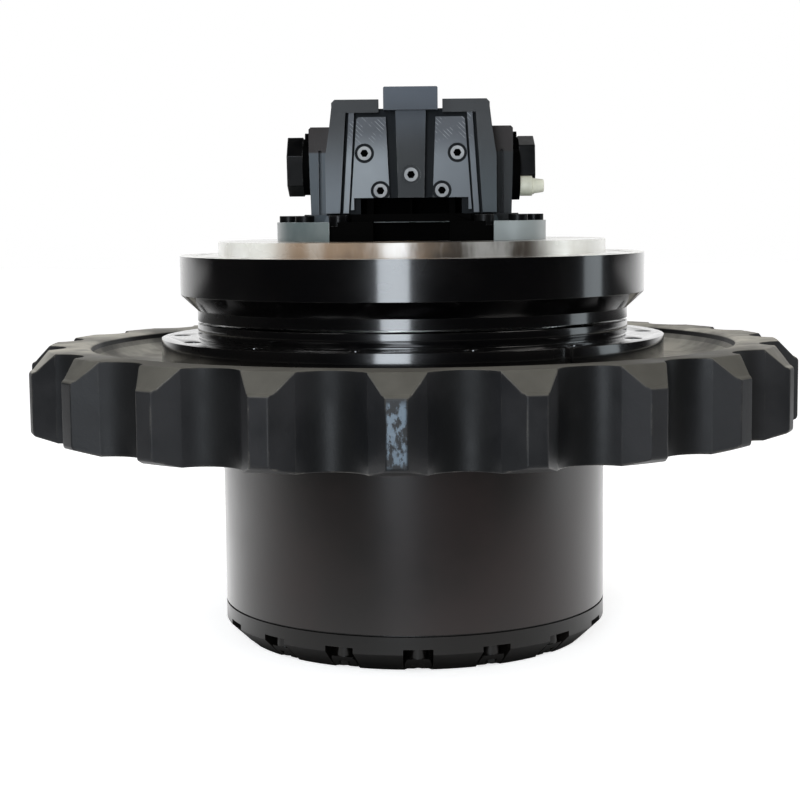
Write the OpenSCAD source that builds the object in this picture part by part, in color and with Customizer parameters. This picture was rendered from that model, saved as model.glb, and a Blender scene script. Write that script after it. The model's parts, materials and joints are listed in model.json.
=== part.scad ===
// Track final drive: hydraulic travel motor, two-stage planetary gear reducer and track sprocket.
// The axis is +Z. The outer face of the gear cover lies on z = 0 and the motor's port block is on top.

/* [Sprocket] */
// Number of sprocket teeth
sprocket_teeth = 21; // [19:1:25]
// Diameter over the tooth tips
tip_d = 742; // [730:1:760]
// Depth of a tooth gap
tooth_depth = 37; // [32:1:40]
// Radius of the bushing seat at the bottom of a gap
seat_r = 34; // [30:1:36]
// Width of the land on a tooth tip
land_w = 17; // [12:1:26]
// Height of the toothed rim at the roots
rim_h = 82; // [70:1:90]
// Fall of a tooth's top towards its tip
tip_fall = 16.5; // [10:0.5:20]
// Rise of a tooth's underside towards its tip
tip_rise = 5; // [2:0.5:12]
// Radial width over which a tooth thins towards its tip
tooth_slope_w = 20; // [14:1:30]
// Rounding of the edges of a tooth tip
tip_round = 4; // [2:1:8]
// Width of the rim inside the tooth gaps
rim_wall = 23; // [14:1:34]
// Rise of the rim above the web
rim_rise = 20; // [12:1:28]
// Thickness of the web
web_t = 24; // [18:1:30]
// Azimuth of the tooth nearest the front
tooth_phase = -2; // [-8:0.1:8]

/* [Hub] */
// Outer diameter of the drum and of the cover
drum_d = 373; // [368:1:380]
// Diameter of the hub flange
hub_flange_d = 488; // [480:1:500]
// Thickness of the hub flange
hub_flange_t = 26; // [20:1:32]
// Height of the hub below its flange
hub_body_h = 67; // [62:1:72]
// Diameter of the collar round the face seal
collar_d = 418; // [410:1:424]
// Height of the collar
collar_h = 14; // [12:1:18]
// Number of sprocket bolts
sprocket_bolt_n = 14; // [10:1:18]
// Pitch diameter of the sprocket bolts
sprocket_bolt_pcd = 452; // [446:1:458]
// Thread diameter of the sprocket bolts
sprocket_bolt_d = 16; // [12:1:20]
// Width of the timing notch in the flange edge
notch_w = 9; // [5:1:14]

/* [Frame flange] */
// Diameter of the frame flange
frame_d = 450; // [440:1:460]
// Thickness of the frame flange
frame_t = 37; // [30:1:44]
// Diameter of the pilot that locates in the frame
pilot_d = 376; // [366:1:382]
// Height of the pilot
pilot_h = 13; // [8:1:16]
// Number of frame bolt holes
frame_bolt_n = 20; // [12:1:24]
// Pitch diameter of the frame bolt holes
frame_bolt_pcd = 414; // [408:1:420]
// Diameter of the frame bolt holes
frame_bolt_d = 16; // [12:1:18]
// Depth of the frame bolt holes
frame_bolt_depth = 30; // [20:1:34]
// Height of the cone under the frame flange
neck_cone_h = 15; // [10:1:20]
// Height of the neck band above the seal gap
neck_h = 10; // [6:1:14]
// Gap between the still neck and the turning collar
seal_gap = 2.5; // [2:0.1:4]

/* [Cover] */
// Height of the cover up to the seam
cover_h = 36; // [34:1:44]
// Thickness of the cover plate
cover_plate_t = 14; // [10:1:18]
// Height of the bevel at the cover edge
cover_bevel_h = 18; // [10:1:20]
// Width of the bevel at the cover edge
cover_bevel_w = 19; // [10:1:22]
// Number of cover bolts
cover_bolt_n = 16; // [12:1:18]
// Thread diameter of the cover bolts
cover_bolt_d = 12; // [12:1:14]
// Distance of the cover bolts from the outside of the drum
cover_bolt_inset = 13.5; // [12:0.5:14]
// Width of the pocket that each bolt head stands in
pocket_w = 27; // [24:1:32]
// Height of the pocket ceiling above the cover face
pocket_h = 23; // [18:1:26]
// Azimuth of the bolt nearest the front
cover_bolt_phase = 0.8; // [-11:0.1:11]

/* [Gears] */
// Thickness of the drum outside the ring gear teeth
ring_wall = 28.325; // [27:0.025:30]
// Teeth of the ring gear
ring_teeth = 68; // [68:12:68]
// Teeth of the first sun
sun_1_teeth = 10; // [10:2:10]
// Teeth of the second sun
sun_2_teeth = 16; // [16:2:16]
// Backlash at the pitch circle
backlash = 0.3; // [0.2:0.05:0.5]
// Face width of the first stage
face_1 = 42; // [36:1:44]
// Face width of the second stage
face_2 = 60; // [54:1:62]
// Radius of the first planet pins
pin_1_r = 17; // [14:0.5:20]
// Radius of the second planet pins
pin_2_r = 19; // [16:0.5:22]
// Length of the ring gear
ring_gear_l = 164; // [164:1:168]
// Thickness of the lower plate of the first carrier
carrier_1_low_t = 8; // [6:0.5:10]
// Thickness of the upper plate of the first carrier
carrier_1_top_t = 12; // [10:0.5:13]
// Thickness of the lower plate of the second carrier
carrier_2_low_t = 9; // [7:0.5:10]
// Thickness of the upper plate of the second carrier
carrier_2_top_t = 22; // [18:0.5:24]
// Gap between both carriers and the ring gear teeth
carrier_gap = 9; // [6:0.5:14]
// Radial running clearance of a pin in a planet
pin_fit = 0.05; // [0.03:0.01:0.09]

/* [Bearings] */
// Wall of the hub outside the main bearings
bearing_wall = 26.5; // [25:0.5:28]
// Radial height of the main bearings
bearing_section = 36; // [34:1:38]
// Width of a main bearing
bearing_w = 30; // [28:1:32]
// Diameter of a ball
ball_d = 24; // [20:1:25]
// Number of balls in a bearing
ball_n = 28; // [20:1:30]
// Distance between the main bearings
bearing_space = 12; // [8:1:14]
// Clearance between balls, rollers and their races
roll_gap = 0.3; // [0.25:0.05:0.4]

/* [Motor] */
// Diameter of the motor flange
motor_flange_d = 261; // [256:1:266]
// Thickness of the motor flange
motor_flange_t = 18; // [15:1:22]
// Number of motor bolts
motor_bolt_n = 16; // [14:1:18]
// Distance of the motor bolts from the edge of the motor flange
motor_bolt_inset = 10.5; // [9.5:0.5:12]
// Thread diameter of the motor bolts
motor_bolt_d = 12; // [10:1:12]
// Diameter of the motor shaft
shaft_d = 50; // [46:1:52]
// Number of pistons
piston_n = 9; // [7:2:9]
// Diameter of a piston
piston_d = 19; // [16:0.5:20]
// Pitch diameter of the pistons
piston_pcd = 92; // [88:1:94]
// Outer diameter of the cylinder block
cylinder_d = 140; // [136:1:142]
// Outer diameter of the brake plates
brake_d = 199; // [190:1:199]
// Number of friction discs in the parking brake
friction_n = 4; // [3:1:5]
// Thickness of each brake disc and plate
disc_t = 3.5; // [3:0.1:4]

/* [Port block] */
// Width of the block at its shoulders
block_w = 146; // [138:1:150]
// Widening of the block towards its foot, on each side
block_draft = 6; // [0:0.5:7]
// Depth of the block from front to back
block_l = 170; // [160:1:176]
// Height of the block up to the shoulders
block_h = 112; // [106:1:120]
// Width of the raised middle head
head_w = 50; // [44:1:56]
// Rise of the head above the shoulders
head_rise = 11; // [8:0.5:16]
// Height of the head's front face
head_h = 21; // [16:1:26]
// How far the head stands out in front
head_out = 5; // [2:0.5:8]
// Width of the slots between the head and the shoulders
slot_w = 4.5; // [2.5:0.5:5]
// Depth of these slots below the shoulders
slot_depth = 8; // [6:1:14]
// Depth of the cast relief on the front
relief = 12; // [8:1:16]
// Width of the middle rib under the head
rib_top_w = 28; // [24:1:32]
// Width of the middle rib at its foot
rib_foot_w = 24; // [16:1:26]
// Width of the groove beside the rib
groove_w = 9; // [7:0.5:11]
// Width of the outer pillars
pillar_w = 13; // [10:1:15]
// Width of the narrow ridges inside the pillars
ridge_w = 5; // [4:0.5:7]
// Radius of the socket plugs in the front
plug_r = 6.4; // [6:0.2:7]
// Width over the side valve bodies
side_w = 193; // [188:1:200]
// Height of the side valve bodies above the motor flange
side_h = 89; // [80:1:94]
// Depth of the side valve bodies
side_l = 90; // [76:1:96]
// Height of the counterbalance spool above the motor flange
spool_h = 53; // [48:1:56]
// Diameter of the counterbalance spool
spool_d = 32; // [26:1:34]
// Length of the counterbalance spool
spool_l = 120; // [110:1:124]
// Width over the flats of the spool plugs
spool_plug_af = 50; // [46:1:54]
// Length of the hexagon of the spool plugs
spool_plug_l = 15.5; // [10:0.5:18]
// Diameter of the main hose ports
port_d = 26; // [20:1:30]
// Depth of the main hose ports
port_depth = 40; // [30:1:46]

/* [Hidden] */
$fn = 96;
eps = 0.01;

paint_black = [0.08, 0.08, 0.085];
sprocket_grey = [0.19, 0.19, 0.19];
cast_slate = [0.27, 0.29, 0.31];
flange_grey = [0.45, 0.50, 0.50];
steel = [0.62, 0.62, 0.60];
dark_steel = [0.33, 0.33, 0.34];
bronze = [0.70, 0.53, 0.27];
rubber = [0.06, 0.06, 0.06];
cream = [0.90, 0.89, 0.80];

// Heights of the outer stack
seam_z = cover_h;
hub_z = seam_z + ring_gear_l;
flange_z = hub_z + hub_body_h;
flange_top_z = flange_z + hub_flange_t;
collar_top_z = flange_top_z + collar_h;
neck_z = collar_top_z + seal_gap;
neck_top_z = neck_z + neck_h;
frame_z = neck_top_z + neck_cone_h;
frame_top_z = frame_z + frame_t;
pilot_top_z = frame_top_z + pilot_h;
motor_top_z = pilot_top_z + motor_flange_t;
shoulder_z = motor_top_z + block_h;
head_top_z = shoulder_z + head_rise;
spool_z = motor_top_z + spool_h;

drum_r = drum_d / 2;
cover_bolt_r = drum_r - cover_bolt_inset;
tip_r = tip_d / 2;
root_r = tip_r - tooth_depth;
collar_r = collar_d / 2;
frame_r = frame_d / 2;
pilot_r = pilot_d / 2;

// Gear train, with every planet pitch radius from the ring and its sun
tooth_head = 0.9;
tooth_foot = 1.15;
gear_m = (drum_r - ring_wall) / (ring_teeth / 2 + tooth_foot);
ring_r = gear_m * ring_teeth / 2;
planet_1_teeth = (ring_teeth - sun_1_teeth) / 2;
planet_2_teeth = (ring_teeth - sun_2_teeth) / 2;
orbit_1 = gear_m * (sun_1_teeth + planet_1_teeth) / 2;
orbit_2 = gear_m * (sun_2_teeth + planet_2_teeth) / 2;
addendum = tooth_head * gear_m;
dedendum = tooth_foot * gear_m;
carrier_r = ring_r - addendum - carrier_gap;
pressure_angle = 20;
planet_1_n = 3;
planet_2_n = 4;
side_play = 1;
stage_gap = 3;
carrier_1_z = seam_z + 2;
planet_1_z = carrier_1_z + carrier_1_low_t + side_play;
carrier_1_top_z = planet_1_z + face_1 + side_play;
carrier_2_z = carrier_1_top_z + carrier_1_top_t + stage_gap;
planet_2_z = carrier_2_z + carrier_2_low_t + side_play;
carrier_2_top_z = planet_2_z + face_2 + side_play;
carrier_2_end_z = carrier_2_top_z + carrier_2_top_t;
post_r = 17;
input_r = 13;
sun_2_bore_r = input_r + 3;
spline_n = 12;
spline_depth = 2;
spline_gap = 0.1;
sun_2_spline_r = 29;
nose_r = 62;
nose_bore_r = 34;
nose_z = carrier_2_top_z + 2;

// Main bearings and face seal
spindle_end_z = carrier_2_end_z + 4;
nut_t = 9;
lower_bearing_z = spindle_end_z + nut_t + 1;
hub_land_z = lower_bearing_z + bearing_w;
upper_bearing_z = hub_land_z + bearing_space;
shoulder_top_z = upper_bearing_z + bearing_w;
bearing_od = drum_d - 2 * bearing_wall;
bearing_bore = bearing_od - 2 * bearing_section;
ball_r = ball_d / 2;
ball_pitch_r = (bearing_bore + bearing_od) / 4;
race_half_gap = 5;
seal_pocket_r = 184;
seal_in_r = 150;
seal_back_r = 170.7;
seal_lip_r = 181;
seal_face_z = (collar_top_z + neck_z) / 2;
seal_ring_h = 18.4;
rubber_r = (seal_pocket_r - seal_back_r) / 2 - 0.25;
seal_floor_z = seal_face_z - seal_ring_h - 2;

// Motor inside the spindle
shaft_r = shaft_d / 2;
floor_z = spindle_end_z + 34;
ledge_z = floor_z + 67;
shaft_seal_h = 8;
front_bearing_h = 24;
roller_r = 4;
roller_n = 22;
front_roller_pitch = shaft_r + roller_r + roll_gap;
front_race_r = front_roller_pitch + roller_r + roll_gap;
front_bearing_r = front_race_r + 12;
seal_r = front_race_r + 6;
swash_t = 24;
shoe_t = 6;
shoe_r = 13;
saddle_t = 4;
swash_z = floor_z + saddle_t + 0.2;
swash_back_r = 150;
swash_r = cylinder_d / 2 + 12;
shoe_z = swash_z + swash_t + 0.05;
ball_joint_r = 8;
retainer_t = 4;
valve_plate_t = 8;
cylinder_h = 76;
cylinder_z = pilot_top_z - valve_plate_t - 0.05 - cylinder_h;
bore_fit = 0.05;
brake_r = brake_d / 2;
cavity_r = brake_r + 0.4;
disc_pitch = 2 * disc_t + 0.2;
disc_z = ledge_z + 0.05;
plate_in_r = cylinder_d / 2 + 4;
friction_out_r = brake_r - 6;
friction_in_r = cylinder_d / 2 + 0.3;
piston_z = disc_z + friction_n * disc_pitch + disc_t + 0.1;
brake_piston_h = 27;
brake_lift = 1.5;
rear_shaft_r = 16;
rear_roller_r = 3;
rear_roller_n = 20;
rear_roller_pitch = rear_shaft_r + rear_roller_r + roll_gap;
rear_race_r = rear_roller_pitch + rear_roller_r + roll_gap;
rear_bearing_r = rear_race_r + 6;
rear_roof_t = 3;
rear_bearing_h = motor_flange_t - rear_roof_t - 1;

// Azimuth is measured from the front, which is -Y, towards +X
function azimuth(a) = a - 90;
function polar(r, a) = [r * cos(a), r * sin(a)];

// Involute of a circle, as the angle that the flank has turned at radius r
function flank_turn(r, base) = r <= base ? 0 :
    let (roll = sqrt(r * r / base / base - 1)) roll * 180 / PI - atan(roll);

// Half of the angle that a tooth fills at radius r
function half_tooth(r, teeth, play, side) =
    let (pitch = gear_m * teeth / 2, base = pitch * cos(pressure_angle))
    90 / teeth - play / pitch * 45 / PI + side * (flank_turn(pitch, base) - flank_turn(r, base));

function gear_points(teeth, inner, outer, mid, play, side) = [
    for (i = [0 : teeth - 1], q = [-3 : 3])
        if (q != 0)
            let (r = abs(q) == 3 ? inner : abs(q) == 2 ? mid : outer)
            polar(r, i * 360 / teeth + sign(q) * half_tooth(r, teeth, play, side))];

// Points run along each tooth from root to tip and back
function tooth_ring(teeth, root, tip, play, side) =
    let (pitch = gear_m * teeth / 2)
    [for (i = [0 : teeth - 1], q = [[root, -1], [pitch, -1], [tip, -1], [tip, 1], [pitch, 1], [root, 1]])
        polar(q[0], i * 360 / teeth + q[1] * half_tooth(q[0], teeth, play, side))];

// Turn of a planet at angle a that meshes with the ring, whose tooth 0 lies on +X
function planet_turn(a, teeth) =
    let (phase = (a - 180 / ring_teeth) * ring_teeth / 360) a - (phase - floor(phase)) * 360 / teeth;

// Turn of the sun that meshes with a planet at angle a
function sun_turn(a, planet_teeth, sun_teeth) =
    let (phase = (a + 180 - planet_turn(a, planet_teeth)) * planet_teeth / 360)
    a + (phase - floor(phase) - 0.5) * 360 / sun_teeth;

function orbit_angle(k, n) = azimuth(0) + k * 360 / n;

module ring_of(n, r, phase = 0) {
    for (k = [0 : n - 1])
        rotate(azimuth(phase) + k * 360 / n) translate([r, 0, 0]) children();
}

module tube(outer, inner, h) {
    difference() {
        cylinder(r = outer, h = h);
        translate([0, 0, -1]) cylinder(r = inner, h = h + 2);
    }
}

module gear_shape(teeth) {
    pitch = gear_m * teeth / 2;
    polygon(tooth_ring(teeth, pitch - dedendum, pitch + addendum, backlash / 2, 1));
}

module spline_shape(r) {
    polygon([for (k = [0 : spline_n - 1], q = [-0.32, -0.18, 0.18, 0.32])
        polar(r - (abs(q) > 0.2 ? spline_depth : 0), (k + q) * 360 / spline_n)]);
}

module hexagon(flats) {
    circle(d = flats / cos(30), $fn = 6);
}

// Socket-head screw that hangs from the underside of its head at the origin, thread upwards
module socket_screw(d, length, head_h) {
    cylinder(d = d, h = length);
    difference() {
        translate([0, 0, -head_h]) cylinder(d = 1.5 * d, h = head_h + eps);
        translate([0, 0, -head_h - 1]) linear_extrude(head_h * 0.55 + 1) hexagon(0.8 * d);
    }
}

// Gear cover
module cover() {
    color(paint_black)
        difference() {
            rotate_extrude()
                polygon([[0, 0], [drum_r - cover_bevel_w, 0], [drum_r, cover_bevel_h], [drum_r, seam_z - seam_w],
                    [drum_r - seam_w, seam_z - seam_w], [drum_r - seam_w, seam_z], [pilot_seat_r, seam_z], [pilot_seat_r, seam_z + pilot_seat_h],
                    [pilot_seat_r - 9, seam_z + pilot_seat_h], [pilot_seat_r - 9, seam_z - 4],
                    [carrier_r + 4, cover_plate_t], [0, cover_plate_t]]);
            ring_of(cover_bolt_n, cover_bolt_r, cover_bolt_phase) {
                translate([0, 0, -1]) cylinder(d = pocket_w, h = pocket_h + 1);
                translate([0, -pocket_w / 2, -1]) cube([drum_r, pocket_w, pocket_h + 1]);
                cylinder(d = cover_bolt_d + 1, h = seam_z + 1);
            }
            ring_of(cover_plug_n, cover_plug_pcd / 2, cover_plug_phase)
                translate([0, 0, -1]) cylinder(d = cover_plug_d, h = cover_plate_t + 2);
            translate([0, 0, seam_z + pilot_seat_h / 2 - cord_r])
                tube(pilot_seat_r + 1, pilot_seat_r - 2 * cord_r, 2 * cord_r);
            translate([0, 0, cover_plate_t - 4]) cylinder(r = thrust_pad_r + 0.1, h = cover_h);
        }
}
seam_w = 1.4;
pilot_seat_r = ring_r + dedendum + 1.8;
pilot_seat_h = 8;
cover_plug_n = 3;
cover_plug_pcd = 190;
cover_plug_phase = 30;
cover_plug_d = 30;
cord_r = 1.6;
thrust_pad_r = 34;

// Cover bolts, each with a wide head and a sleeve between the head and the pocket ceiling
module cover_bolts() {
    color(dark_steel)
        ring_of(cover_bolt_n, cover_bolt_r, cover_bolt_phase) {
            translate([0, 0, pocket_h - sleeve_h - eps]) cylinder(d = cover_bolt_d + 3.2, h = sleeve_h + eps);
            translate([0, 0, pocket_h - eps]) cylinder(d = cover_bolt_d, h = hub_z + bolt_bite - pocket_h + eps);
            difference() {
                translate([0, 0, head_low_z]) cylinder(d = 2 * cover_bolt_d, h = pocket_h - sleeve_h - head_low_z);
                translate([0, 0, head_low_z - 1]) linear_extrude(7) hexagon(0.9 * cover_bolt_d);
            }
        }
}
sleeve_h = 10;
head_low_z = 1.5;
bolt_bite = 24;

// Drain, level and fill plugs, sunk into the cover plate
module cover_plugs() {
    color(dark_steel)
        ring_of(cover_plug_n, cover_plug_pcd / 2, cover_plug_phase)
            difference() {
                translate([0, 0, 1.5]) cylinder(d = cover_plug_d - 0.1, h = cover_plate_t - 1.5);
                translate([0, 0, 0]) linear_extrude(10) hexagon(cover_plug_d * 0.45);
            }
}

module cover_seal() {
    color(rubber)
        translate([0, 0, seam_z + pilot_seat_h / 2])
            rotate_extrude() translate([pilot_seat_r - cord_r, 0]) circle(r = cord_r - 0.1, $fn = 24);
}

// Hardened pad that takes the end of the first sun
module thrust_pad() {
    color(steel)
        translate([0, 0, cover_plate_t - 4]) cylinder(r = thrust_pad_r, h = sun_1_z - 0.3 - cover_plate_t + 4);
}
sun_1_z = planet_1_z - 3;

// Ring gear, which is also the drum between cover and hub
module ring_gear() {
    color(paint_black)
        difference() {
            translate([0, 0, seam_z]) cylinder(r = drum_r, h = ring_gear_l);
            translate([0, 0, seam_z - 1]) linear_extrude(ring_gear_l + 2) ring_shape();
            translate([0, 0, seam_z - 1]) cylinder(r = pilot_seat_r + 0.1, h = pilot_seat_h + 2);
            ring_of(cover_bolt_n, cover_bolt_r, cover_bolt_phase)
                translate([0, 0, seam_z - 1]) cylinder(d = cover_bolt_d + 1, h = ring_gear_l + 2);
        }
}

// Outline of the space inside the ring teeth
module ring_shape() {
    rotate(180 / ring_teeth)
        polygon(tooth_ring(ring_teeth, ring_r - addendum, ring_r + dedendum, -backlash / 2, 1));
}

module hub() {
    color(paint_black)
        difference() {
            rotate_extrude()
                polygon([[drum_r, hub_z], [drum_r, flange_z], [hub_flange_d / 2, flange_z],
                    [hub_flange_d / 2, flange_top_z], [collar_r - 2, flange_top_z],
                    [collar_r - 2, flange_top_z + 2], [collar_r, flange_top_z + 2], [collar_r, collar_top_z],
                    [seal_pocket_r, collar_top_z], [seal_pocket_r, seal_floor_z],
                    [bearing_od / 2, seal_floor_z], [bearing_od / 2, upper_bearing_z],
                    [bearing_od / 2 - 8, upper_bearing_z], [bearing_od / 2 - 8, hub_land_z],
                    [bearing_od / 2, hub_land_z], [bearing_od / 2, hub_z]]);
            ring_of(sprocket_bolt_n, sprocket_bolt_pcd / 2, sprocket_bolt_phase)
                translate([0, 0, flange_z - 1]) cylinder(d = sprocket_bolt_d, h = hub_flange_t + 2);
            ring_of(cover_bolt_n, cover_bolt_r, cover_bolt_phase)
                translate([0, 0, hub_z - 1]) cylinder(d = cover_bolt_d, h = bolt_bite + 3);
            rotate(azimuth(notch_azimuth))
                translate([hub_flange_d / 2 - 3, -notch_w / 2, flange_z - 1])
                    cube([10, notch_w, hub_flange_t + 2]);
        }
}
sprocket_bolt_phase = 90.2;
notch_azimuth = 33.5;

// Outline of one tooth gap, open to the outside: a round seat whose flanks lead out to the tip lands
module gap_shape() {
    centre = root_r + seat_r;
    half = 180 / sprocket_teeth - land_w / 2 / tip_r * 180 / PI;
    corner = polar(tip_r, half);
    reach = corner - [centre, 0];
    bite = seat_r * 0.96;
    lean = atan2(reach[1], reach[0]) + acos(bite / norm(reach));
    foot = [centre + bite * cos(lean), bite * sin(lean)];
    out = corner + (corner - foot) * 1.5;
    translate([centre, 0]) circle(r = seat_r);
    polygon([foot, out, [out[0], -out[1]], [foot[0], -foot[1]]]);
}

module sprocket() {
    rim_top = flange_z + rim_rise;
    rim_low = rim_top - rim_h;
    web_low = flange_z - web_t;
    slope_r = tip_r - tooth_slope_w;
    dish_r = root_r - rim_wall;
    fillet_w = min(34, dish_r - hub_flange_d / 2 - 1);
    color(sprocket_grey)
        difference() {
            rotate_extrude()
                polygon(concat(
                    [[drum_r + 0.3, web_low], [dish_r - 24, web_low], [dish_r - 6, web_low - 8],
                        [dish_r, web_low - 22], [dish_r, rim_low + 4], [dish_r + 4, rim_low],
                        [slope_r, rim_low]],
                    [for (a = [0 : 30 : 90])
                        [tip_r - tip_round + tip_round * sin(a), rim_low + tip_rise + tip_round * (1 - cos(a))]],
                    [for (a = [0 : 30 : 90])
                        [tip_r - tip_round + tip_round * cos(a), rim_top - tip_fall - tip_round * (1 - sin(a))]],
                    [[slope_r, rim_top], [dish_r + 6, rim_top], [dish_r, rim_top - 2]],
                    [for (a = [15 : 15 : 90])
                        [dish_r - fillet_w * (1 - cos(a)), rim_top - 2 - (rim_rise - 2) * sin(a)]],
                    [[drum_r + 0.3, flange_z]]));
            for (k = [0 : sprocket_teeth - 1])
                rotate(azimuth(tooth_phase) + (k + 0.5) * 360 / sprocket_teeth)
                    translate([0, 0, rim_low - 1]) linear_extrude(rim_h + 2) gap_shape();
            ring_of(sprocket_bolt_n, sprocket_bolt_pcd / 2, sprocket_bolt_phase)
                translate([0, 0, web_low - 1]) cylinder(d = sprocket_bolt_d + 1, h = web_t + 2);
        }
}

module sprocket_bolts() {
    color(dark_steel)
        ring_of(sprocket_bolt_n, sprocket_bolt_pcd / 2, sprocket_bolt_phase)
            translate([0, 0, flange_z - web_t])
                socket_screw(sprocket_bolt_d, web_t + hub_flange_t - 10, sprocket_bolt_d);
}

// Races of a main bearing, with its lower face at the origin
module bearing_race(inner, outer) {
    difference() {
        tube(outer, inner, bearing_w);
        translate([0, 0, bearing_w / 2])
            rotate_extrude() translate([ball_pitch_r, 0]) circle(r = ball_r + roll_gap, $fn = 48);
    }
}

module outer_race() {
    bearing_race(ball_pitch_r + race_half_gap, bearing_od / 2);
}

module inner_race() {
    bearing_race(bearing_bore / 2, ball_pitch_r - race_half_gap);
}

// Balls held in their cage ring
module ball_set() {
    translate([0, 0, bearing_w / 2]) {
        ring_of(ball_n, ball_pitch_r) sphere(r = ball_r);
        translate([0, 0, -6]) tube(ball_pitch_r + 1.5, ball_pitch_r - 1.5, 12);
    }
}

module upper_bearing_outer() {
    color(steel) translate([0, 0, upper_bearing_z]) outer_race();
}

module lower_bearing_outer() {
    color(steel) translate([0, 0, lower_bearing_z]) outer_race();
}

module upper_bearing_inner() {
    color(steel) translate([0, 0, upper_bearing_z]) inner_race();
}

module lower_bearing_inner() {
    color(steel) translate([0, 0, lower_bearing_z]) inner_race();
}

module upper_bearing_balls() {
    color(steel) translate([0, 0, upper_bearing_z]) ball_set();
}

module lower_bearing_balls() {
    color(steel) translate([0, 0, lower_bearing_z]) ball_set();
}

// Ring nut that preloads the main bearings
module bearing_nut() {
    color(dark_steel)
        difference() {
            translate([0, 0, lower_bearing_z - nut_t]) tube(ball_pitch_r - race_half_gap, bearing_bore / 2, nut_t);
            ring_of(4, ball_pitch_r - race_half_gap)
                translate([-5, -6, lower_bearing_z - nut_t - 1]) cube([10, 12, 6]);
        }
}

// Metal ring of the floating face seal, its sealing face at z = 0 and its back below
module face_seal_ring() {
    rotate_extrude()
        polygon([[seal_in_r, -0.1], [seal_lip_r, -0.1], [seal_lip_r, -4], [seal_back_r, -5],
            [seal_back_r, -seal_ring_h], [seal_in_r, -seal_ring_h]]);
}

module face_seal_rubber() {
    translate([0, 0, -seal_ring_h + rubber_r])
        rotate_extrude() translate([(seal_pocket_r + seal_back_r) / 2, 0]) circle(r = rubber_r, $fn = 32);
}

module seal_ring_turning() {
    color(steel) translate([0, 0, seal_face_z]) face_seal_ring();
}

module seal_rubber_hub() {
    color(rubber) translate([0, 0, seal_face_z]) face_seal_rubber();
}

module seal_ring_still() {
    color(steel) translate([0, 0, seal_face_z]) mirror([0, 0, 1]) face_seal_ring();
}

module seal_rubber_spindle() {
    color(rubber) translate([0, 0, seal_face_z]) mirror([0, 0, 1]) face_seal_rubber();
}

// Spindle: frame flange, neck, bearing journal and the chamber of the motor
module spindle() {
    journal_r = bearing_bore / 2;
    roof_z = 2 * seal_face_z - seal_floor_z;
    color(paint_black)
        difference() {
            rotate_extrude()
                polygon([[nose_bore_r, nose_z], [nose_r - spline_depth - 1, nose_z],
                    [nose_r - spline_depth - 1, spindle_end_z], [journal_r, spindle_end_z],
                    [journal_r, shoulder_top_z], [journal_r + 10, shoulder_top_z], [journal_r + 10, roof_z],
                    [seal_pocket_r, roof_z], [seal_pocket_r, neck_z], [collar_r, neck_z],
                    [collar_r, neck_top_z], [frame_r, frame_z], [frame_r, frame_top_z],
                    [pilot_r, frame_top_z], [pilot_r, pilot_top_z], [cavity_r, pilot_top_z],
                    [cavity_r, ledge_z], [plate_in_r + 14, ledge_z], [plate_in_r + 14, floor_z],
                    [front_bearing_r, floor_z], [front_bearing_r, floor_z - front_bearing_h],
                    [seal_r, floor_z - front_bearing_h], [seal_r, floor_z - front_bearing_h - shaft_seal_h],
                    [nose_bore_r, floor_z - front_bearing_h - shaft_seal_h]]);
            ring_of(frame_bolt_n, frame_bolt_pcd / 2, frame_bolt_phase)
                translate([0, 0, frame_top_z - frame_bolt_depth])
                    cylinder(d = frame_bolt_d, h = frame_bolt_depth + 1);
            motor_bolt_ring()
                translate([0, 0, pilot_top_z - motor_bolt_bite - 2])
                    cylinder(d = motor_bolt_d, h = motor_bolt_bite + 3);
        }
    color(paint_black)
        translate([0, 0, nose_z])
            linear_extrude(carrier_2_end_z - nose_z)
                difference() {
                    spline_shape(nose_r);
                    circle(r = nose_r - spline_depth - 2);
                }
}
frame_bolt_phase = 9;
motor_bolt_phase = 180 / motor_bolt_n;
motor_bolt_bite = 22;

module planet(teeth, face, pin_r, orbit, angle) {
    color(steel)
        rotate(angle) translate([orbit, 0, 0]) rotate(planet_turn(angle, teeth) - angle)
            difference() {
                linear_extrude(face) gear_shape(teeth);
                translate([0, 0, -1]) cylinder(r = pin_r + pin_fit, h = face + 2);
            }
}

module planet_1(k) {
    translate([0, 0, planet_1_z])
        planet(planet_1_teeth, face_1, pin_1_r, orbit_1, orbit_angle(k, planet_1_n));
}

module planet_2(k) {
    translate([0, 0, planet_2_z])
        planet(planet_2_teeth, face_2, pin_2_r, orbit_2, orbit_angle(k, planet_2_n));
}

// Input gear: first sun on a long shaft that passes through the second sun
module sun_1() {
    turn = sun_turn(orbit_angle(0, planet_1_n), planet_1_teeth, sun_1_teeth);
    color(steel) {
        translate([0, 0, sun_1_z]) rotate(turn) linear_extrude(sun_1_h) gear_shape(sun_1_teeth);
        translate([0, 0, sun_1_z + sun_1_h - eps]) cylinder(r = input_r - 1, h = coupling_z - sun_1_z - sun_1_h + 1);
        translate([0, 0, coupling_z]) linear_extrude(coupling_h) spline_shape(input_r);
    }
}
sun_1_h = planet_1_z + face_1 - sun_1_z;
coupling_z = nose_z + 6;
coupling_h = 26;

module sun_2() {
    turn = sun_turn(orbit_angle(0, planet_2_n), planet_2_teeth, sun_2_teeth);
    teeth_z = planet_2_z - 5;
    color(steel)
        difference() {
            union() {
                translate([0, 0, teeth_z]) rotate(turn)
                    linear_extrude(face_2 + 5) gear_shape(sun_2_teeth);
                translate([0, 0, carrier_1_top_z + carrier_1_top_t - eps])
                    cylinder(r = sun_2_spline_r + 1, h = teeth_z - carrier_1_top_z - carrier_1_top_t + 2 * eps);
                translate([0, 0, carrier_1_top_z])
                    linear_extrude(carrier_1_top_t) spline_shape(sun_2_spline_r);
            }
            translate([0, 0, carrier_1_top_z - 1]) cylinder(r = sun_2_bore_r, h = face_2 + 60);
        }
}

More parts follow.
